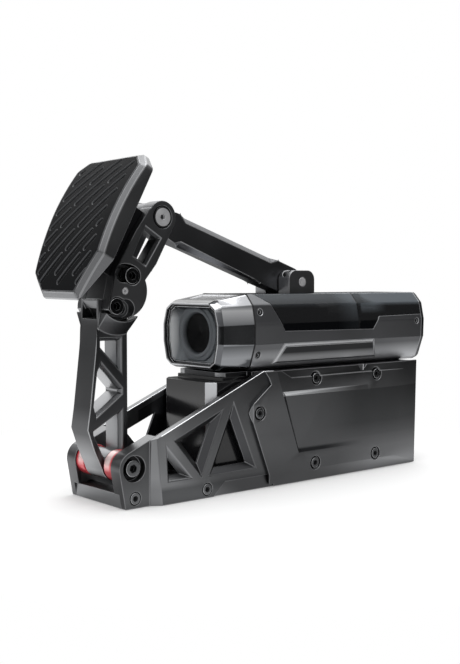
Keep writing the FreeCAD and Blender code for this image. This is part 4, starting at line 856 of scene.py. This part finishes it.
def inside(half, inset, largest=np.inf):
    """A radius that follows an outline at an inset and is never above the largest, by the angle."""
    return lambda angle: np.minimum(largest, reach(half, angle, inset))


def ring(name, stations, radii, material, body):
    """A closed profile carried round the axis: points (station, r cos a, axis + r sin a).

    A radius is a number, or a function of the angle a.
    """
    angle = np.arange(RING_SIDES) * 2 * np.pi / RING_SIDES
    r = np.stack([item(angle) if callable(item) else np.full(RING_SIDES, float(item)) for item in radii])
    x = np.broadcast_to(np.array(stations)[:, None], r.shape)
    points = np.stack([x, r * np.cos(angle), AXIS_Z + r * np.sin(angle)], -1) / 1000 - (ORIGIN_X, 0.0, 0.0)
    index = np.arange(r.size).reshape(r.shape)
    below, beside = np.roll(index, -1, axis=0), np.roll(index, -1, axis=1)
    across = np.roll(below, -1, axis=1)
    quads = np.stack([index, below, across, beside], -1).reshape(-1, 4)
    mesh = bpy.data.meshes.new(name)
    mesh.from_pydata(points.reshape(-1, 3).tolist(), [], quads.tolist())
    work = bmesh.new()
    work.from_mesh(mesh)
    bmesh.ops.recalc_face_normals(work, faces=work.faces)
    work.to_mesh(mesh)
    work.free()
    mesh.materials.append(material)
    mesh.set_sharp_from_angle(angle=math.radians(RING_CORNER))
    for polygon in mesh.polygons:
        polygon.use_smooth = True
    thing = bpy.data.objects.new(name, mesh)
    scene.collection.objects.link(thing)
    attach(thing, body)
    return thing


print("outline corners", 2 * len(LENS_HALF), 2 * len(TUBE_HALF))

# %% [markdown]
# ## What is behind the front window
# Behind the window a pale reflector leads the eye to a stepped ring with a dark bore. Both
# are moulded plastic, so they are matte and hardly shine. Painted shade makes the reflector
# darker to the middle and under its roof, and the ring is grey outside and painted black with
# shade in its bore.

# %% Finishes behind the window
BORE_OUT, BORE_IN = 0.0185, 0.0165
reflector_grey = blasted("reflector_grey", (0.93, 0.97, 1.0), 0.40, 0.1, grain=2200.0, strength=0.05,
                         Specular_IOR_Level=0.1)
_, mirror_y, mirror_z = axes_of(reflector_grey)
# painted shade, darker to the middle
paint(reflector_grey, (0.26, 0.28, 0.30), (mirror_y, 0.0315, 0.0250))
# painted shade under the reflector's roof
paint(reflector_grey, (0.04, 0.044, 0.048), (mirror_z, 0.1440, 0.1530))

bezel_grey = blasted("bezel_grey", (0.18, 0.195, 0.21), 0.42, 0.0, grain=2200.0, strength=0.05,
                     Specular_IOR_Level=0.05)
_, bezel_y, bezel_z = axes_of(bezel_grey)
bore = squared_distance(bezel_grey, bezel_y, bezel_z, (0.0, AXIS_Z / 1000))
# painted shade in the bore
paint(bezel_grey, (0.002, 0.002, 0.0024), (bore, BORE_OUT ** 2, BORE_IN ** 2))

seam_black = blasted("seam_black", (0.008, 0.008, 0.009), 0.55, 0.0)
print("finishes in all", len(bpy.data.materials))

# %% [markdown]
# ## Reflector, stepped ring, gasket and seam
# Each ring is a list of stations along the tube and the radius at each. The stepped ring
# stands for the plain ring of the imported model. The gasket lies between the window and the
# cap, and the seam ring fills the joint between cap and tube and stands a quarter of a
# millimetre proud, so the joint reads as a dark line from every side.

# %% The four rings
SEAM_PROUD, SEAM_DEPTH = 0.25, 1.4
frame_body = bodies["lens_ring"]
cone_end, cone_edge = inside(LENS_HALF, 4.6, 25.6), inside(LENS_HALF, 4.0)
reflector = ring("lens_reflector", (97.6, 103.2, 104.0, 104.0), (cone_edge, cone_end, cone_end, cone_edge),
                 reflector_grey, frame_body)

bezel_rim = inside(LENS_HALF, 4.7, 25.5)
bezel = ring("lens_bezel", (103.4, 101.2, 100.8, 100.6, 100.0, 99.8, 99.8, 100.4, 103.5, 106.2, 107.0),
             (bezel_rim, inside(LENS_HALF, 4.8, 25.4), inside(LENS_HALF, 5.2, 24.8), 21.6, 21.2, 20.6, 19.4,
              18.4, 16.6, 0.2, bezel_rim), bezel_grey, frame_body)
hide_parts("lens_ring")

gasket_out, gasket_in = inside(LENS_HALF, 1.15), inside(LENS_HALF, 2.1)
gasket = ring("lens_gasket", (93.7, 93.7, 95.2, 95.2), (gasket_out, gasket_in, gasket_in, gasket_out),
              seam_black, frame_body)

seam_out, seam_in = inside(TUBE_HALF, -SEAM_PROUD), inside(TUBE_HALF, SEAM_DEPTH)
seam = ring("cap_seam", (131.35, 132.65, 132.65, 131.35), (seam_out, seam_out, seam_in, seam_in),
            seam_black, frame_body)
print("rings", [len(thing.data.polygons) for thing in (reflector, bezel, gasket, seam)])

# %% [markdown]
# ## The white sweep
# A product photograph stands the object on a white sweep. The floor here is a pale disc
# whose rim fades into the white surroundings, so it keeps the object's soft shadow and has
# no visible edge. A plain white plane would end in a line. What the camera sees of the glow
# is white, and what it sends to the object is set by place, as cards laid on the floor
# would do.

# %% Floor
FLOOR_RADIUS, FLOOR_BACK, FLOOR_GAP = 0.62, 0.12, 0.0003
FLOOR_RINGS, FLOOR_SIDES = 24, 96
SHADOW_RADIUS, WHITE_RADIUS, LEAST_GLOW = 0.17, 0.38, 0.12


def disc(name, radius, height, back):
    """Rings of points at (r cos a, back + r sin a), r from the middle to the rim."""
    r, a = np.meshgrid(np.linspace(0, radius, FLOOR_RINGS + 1)[1:],
                       np.arange(FLOOR_SIDES) * 2 * np.pi / FLOOR_SIDES, indexing="ij")
    points = np.stack([r * np.cos(a), back + r * np.sin(a), np.full_like(r, height)], -1).reshape(-1, 3)
    index = np.arange(FLOOR_RINGS * FLOOR_SIDES).reshape(FLOOR_RINGS, FLOOR_SIDES)
    after = np.roll(index, -1, axis=1)
    quads = np.stack([index[:-1], index[1:], after[1:], after[:-1]], -1).reshape(-1, 4)
    mesh = bpy.data.meshes.new(name)
    mesh.from_pydata(points.tolist(), [], quads.tolist() + [index[0].tolist()])
    thing = bpy.data.objects.new(name, mesh)
    scene.collection.objects.link(thing)
    return thing


def floor_finish():
    """White paint near the object, pure glow towards the rim, and brighter patches as cards."""
    material = start("floor_paint", (0.90, 0.90, 0.90), 0.9, Specular_IOR_Level=0.0)
    paint_shader = material.node_tree.nodes["Principled BSDF"]
    middle = add(material, "ShaderNodeVectorMath", {0: place(material)}, operation="LENGTH")
    fade = ramp(material, middle.outputs["Value"], SHADOW_RADIUS, WHITE_RADIUS, LEAST_GLOW, 1.0)
    x, y, _ = add(material, "ShaderNodeSeparateXYZ", {0: place(material)}).outputs
    # what the floor sends up: some everywhere, more in front, and three bright patches
    out_front = ramp(material, y, -0.105, -0.155, 0.42, 0.85)
    back_left = zone(material, (y, 0.02, 0.06, 0.0, 1.1), (x, -0.02, -0.09))
    front_left = zone(material, (y, -0.03, -0.06, 0.0, 0.8), (y, -0.125, -0.10), (x, -0.045, -0.075))
    front_right = zone(material, (y, -0.045, -0.055, 0.0, 0.8), (y, -0.085, -0.07), (x, 0.04, 0.16))
    bounced = steps(material, "ADD", out_front, back_left, front_left, front_right)
    # the camera sees paint that fades into plain white, and every other ray sees the glow only
    seen_directly = add(material, "ShaderNodeLightPath").outputs["Is Camera Ray"]
    strength = add(material, "ShaderNodeMix", {0: seen_directly, 2: bounced}, data_type="FLOAT")
    strength.inputs[3].default_value = 1.0
    glow = add(material, "ShaderNodeEmission", {"Strength": strength.outputs[0]})
    share = steps(material, "MAXIMUM", fade, steps(material, "SUBTRACT", 1.0, seen_directly))
    blend = add(material, "ShaderNodeMixShader", {0: share, 1: paint_shader.outputs[0], 2: glow.outputs[0]})
    material.node_tree.links.new(blend.outputs[0], material.node_tree.nodes["Material Output"].inputs[0])
    return material


floor = disc("floor", FLOOR_RADIUS, cad_low.z - FLOOR_GAP, FLOOR_BACK)
floor.data.materials.append(floor_finish())
print("floor faces", len(floor.data.polygons))

# %% [markdown]
# ## The studio's walls
# The studio has four walls, and each wall is a column of light and dark cards: its
# brightness is a curve over the height of the direction. The walls blend into each other
# with the direction's other two axes. The camera itself sees plain white, while reflections
# see the cards. Cards built as objects would do the same, but they would stand in the way
# when the machine is looked at from another side.

# %% Surroundings
world = bpy.data.worlds.new("studio")
scene.world = world
world.use_nodes = True
direction = add(world, "ShaderNodeTexCoord").outputs["Generated"]
axes = add(world, "ShaderNodeSeparateXYZ", {0: direction}).outputs


def wall(stops):
    """Brightness over the height of the direction: stops are (height from -1 to 1, brightness)."""
    curve = add(world, "ShaderNodeValToRGB", {"Fac": ramp(world, axes["Z"], -1.0, 1.0)})
    elements = curve.color_ramp.elements
    while len(elements) < len(stops):
        elements.new(0.5)
    for element, (height, _) in zip(elements, stops):
        element.position = (height + 1.0) / 2.0
    for element, (_, bright) in zip(elements, stops):
        element.color = (bright, bright, bright, 1.0)
    return curve.outputs["Color"]


near_right = wall([(-1.0, 0.5), (-0.36, 0.3), (-0.16, 0.03), (0.10, 0.03), (0.27, 0.34), (0.50, 0.34),
                   (0.63, 0.34), (0.77, 1.4), (1.0, 1.2)])
near_left = wall([(-1.0, 0.9), (-0.36, 0.8), (-0.10, 1.0), (0.06, 0.5), (0.20, 0.4), (0.55, 1.4), (1.0, 1.2)])
far_left = wall([(-1.0, 1.0), (-0.20, 1.0), (-0.04, 0.8), (0.08, 0.16), (0.25, 0.42), (0.45, 1.05),
                 (0.70, 1.2), (1.0, 1.2)])
far_right = wall([(-1.0, 0.5), (-0.10, 0.12), (0.12, 0.10), (0.25, 0.35), (0.42, 2.2), (0.60, 2.2),
                  (0.80, 1.4), (1.0, 1.2)])
# left blends into right along x, and the near walls into the far ones along y
near_wall = tint(world, ramp(world, axes["X"], -0.45, 0.15), near_left, near_right)
far_wall = tint(world, ramp(world, axes["X"], -0.30, 0.25), far_left, far_right)
walls = tint(world, ramp(world, axes["Y"], -0.1, 0.5), near_wall, far_wall)
seen = tint(world, add(world, "ShaderNodeLightPath").outputs["Is Camera Ray"], walls, (1.0, 1.0, 1.0))
world.node_tree.links.new(seen, world.node_tree.nodes["Background"].inputs["Color"])
print("nodes in the surroundings", len(world.node_tree.nodes))

# %% [markdown]
# ## One soft lamp
# The walls give the metal its reflections, but light from all sides casts hardly any shadow.
# One broad lamp overhead adds the soft shadow under the machine. It is large and weak,
# because a small strong one would draw hard highlights on every edge.

# %% Lamp
LAMP_PLACE, LAMP_AIM = (0.05, -0.05, 1.1), (0.0, 0.0, 0.1)
LAMP_WIDTH, LAMP_DEPTH, LAMP_POWER = 0.9, 0.6, 4.5


def softbox(name, stands_at, aims_at, width, depth, power):
    """A rectangular lamp aimed at a point."""
    lamp = bpy.data.lights.new(name, "AREA")
    lamp.shape = "RECTANGLE"
    lamp.size, lamp.size_y = width, depth
    lamp.energy = power
    thing = bpy.data.objects.new(name, lamp)
    scene.collection.objects.link(thing)
    thing.location = stands_at
    thing.rotation_mode = "QUATERNION"
    thing.rotation_quaternion = (Vector(aims_at) - Vector(stands_at)).to_track_quat("-Z", "Y")
    return thing


overhead = softbox("overhead", LAMP_PLACE, LAMP_AIM, LAMP_WIDTH, LAMP_DEPTH, LAMP_POWER)
print("lamp at", [round(v, 2) for v in overhead.location])
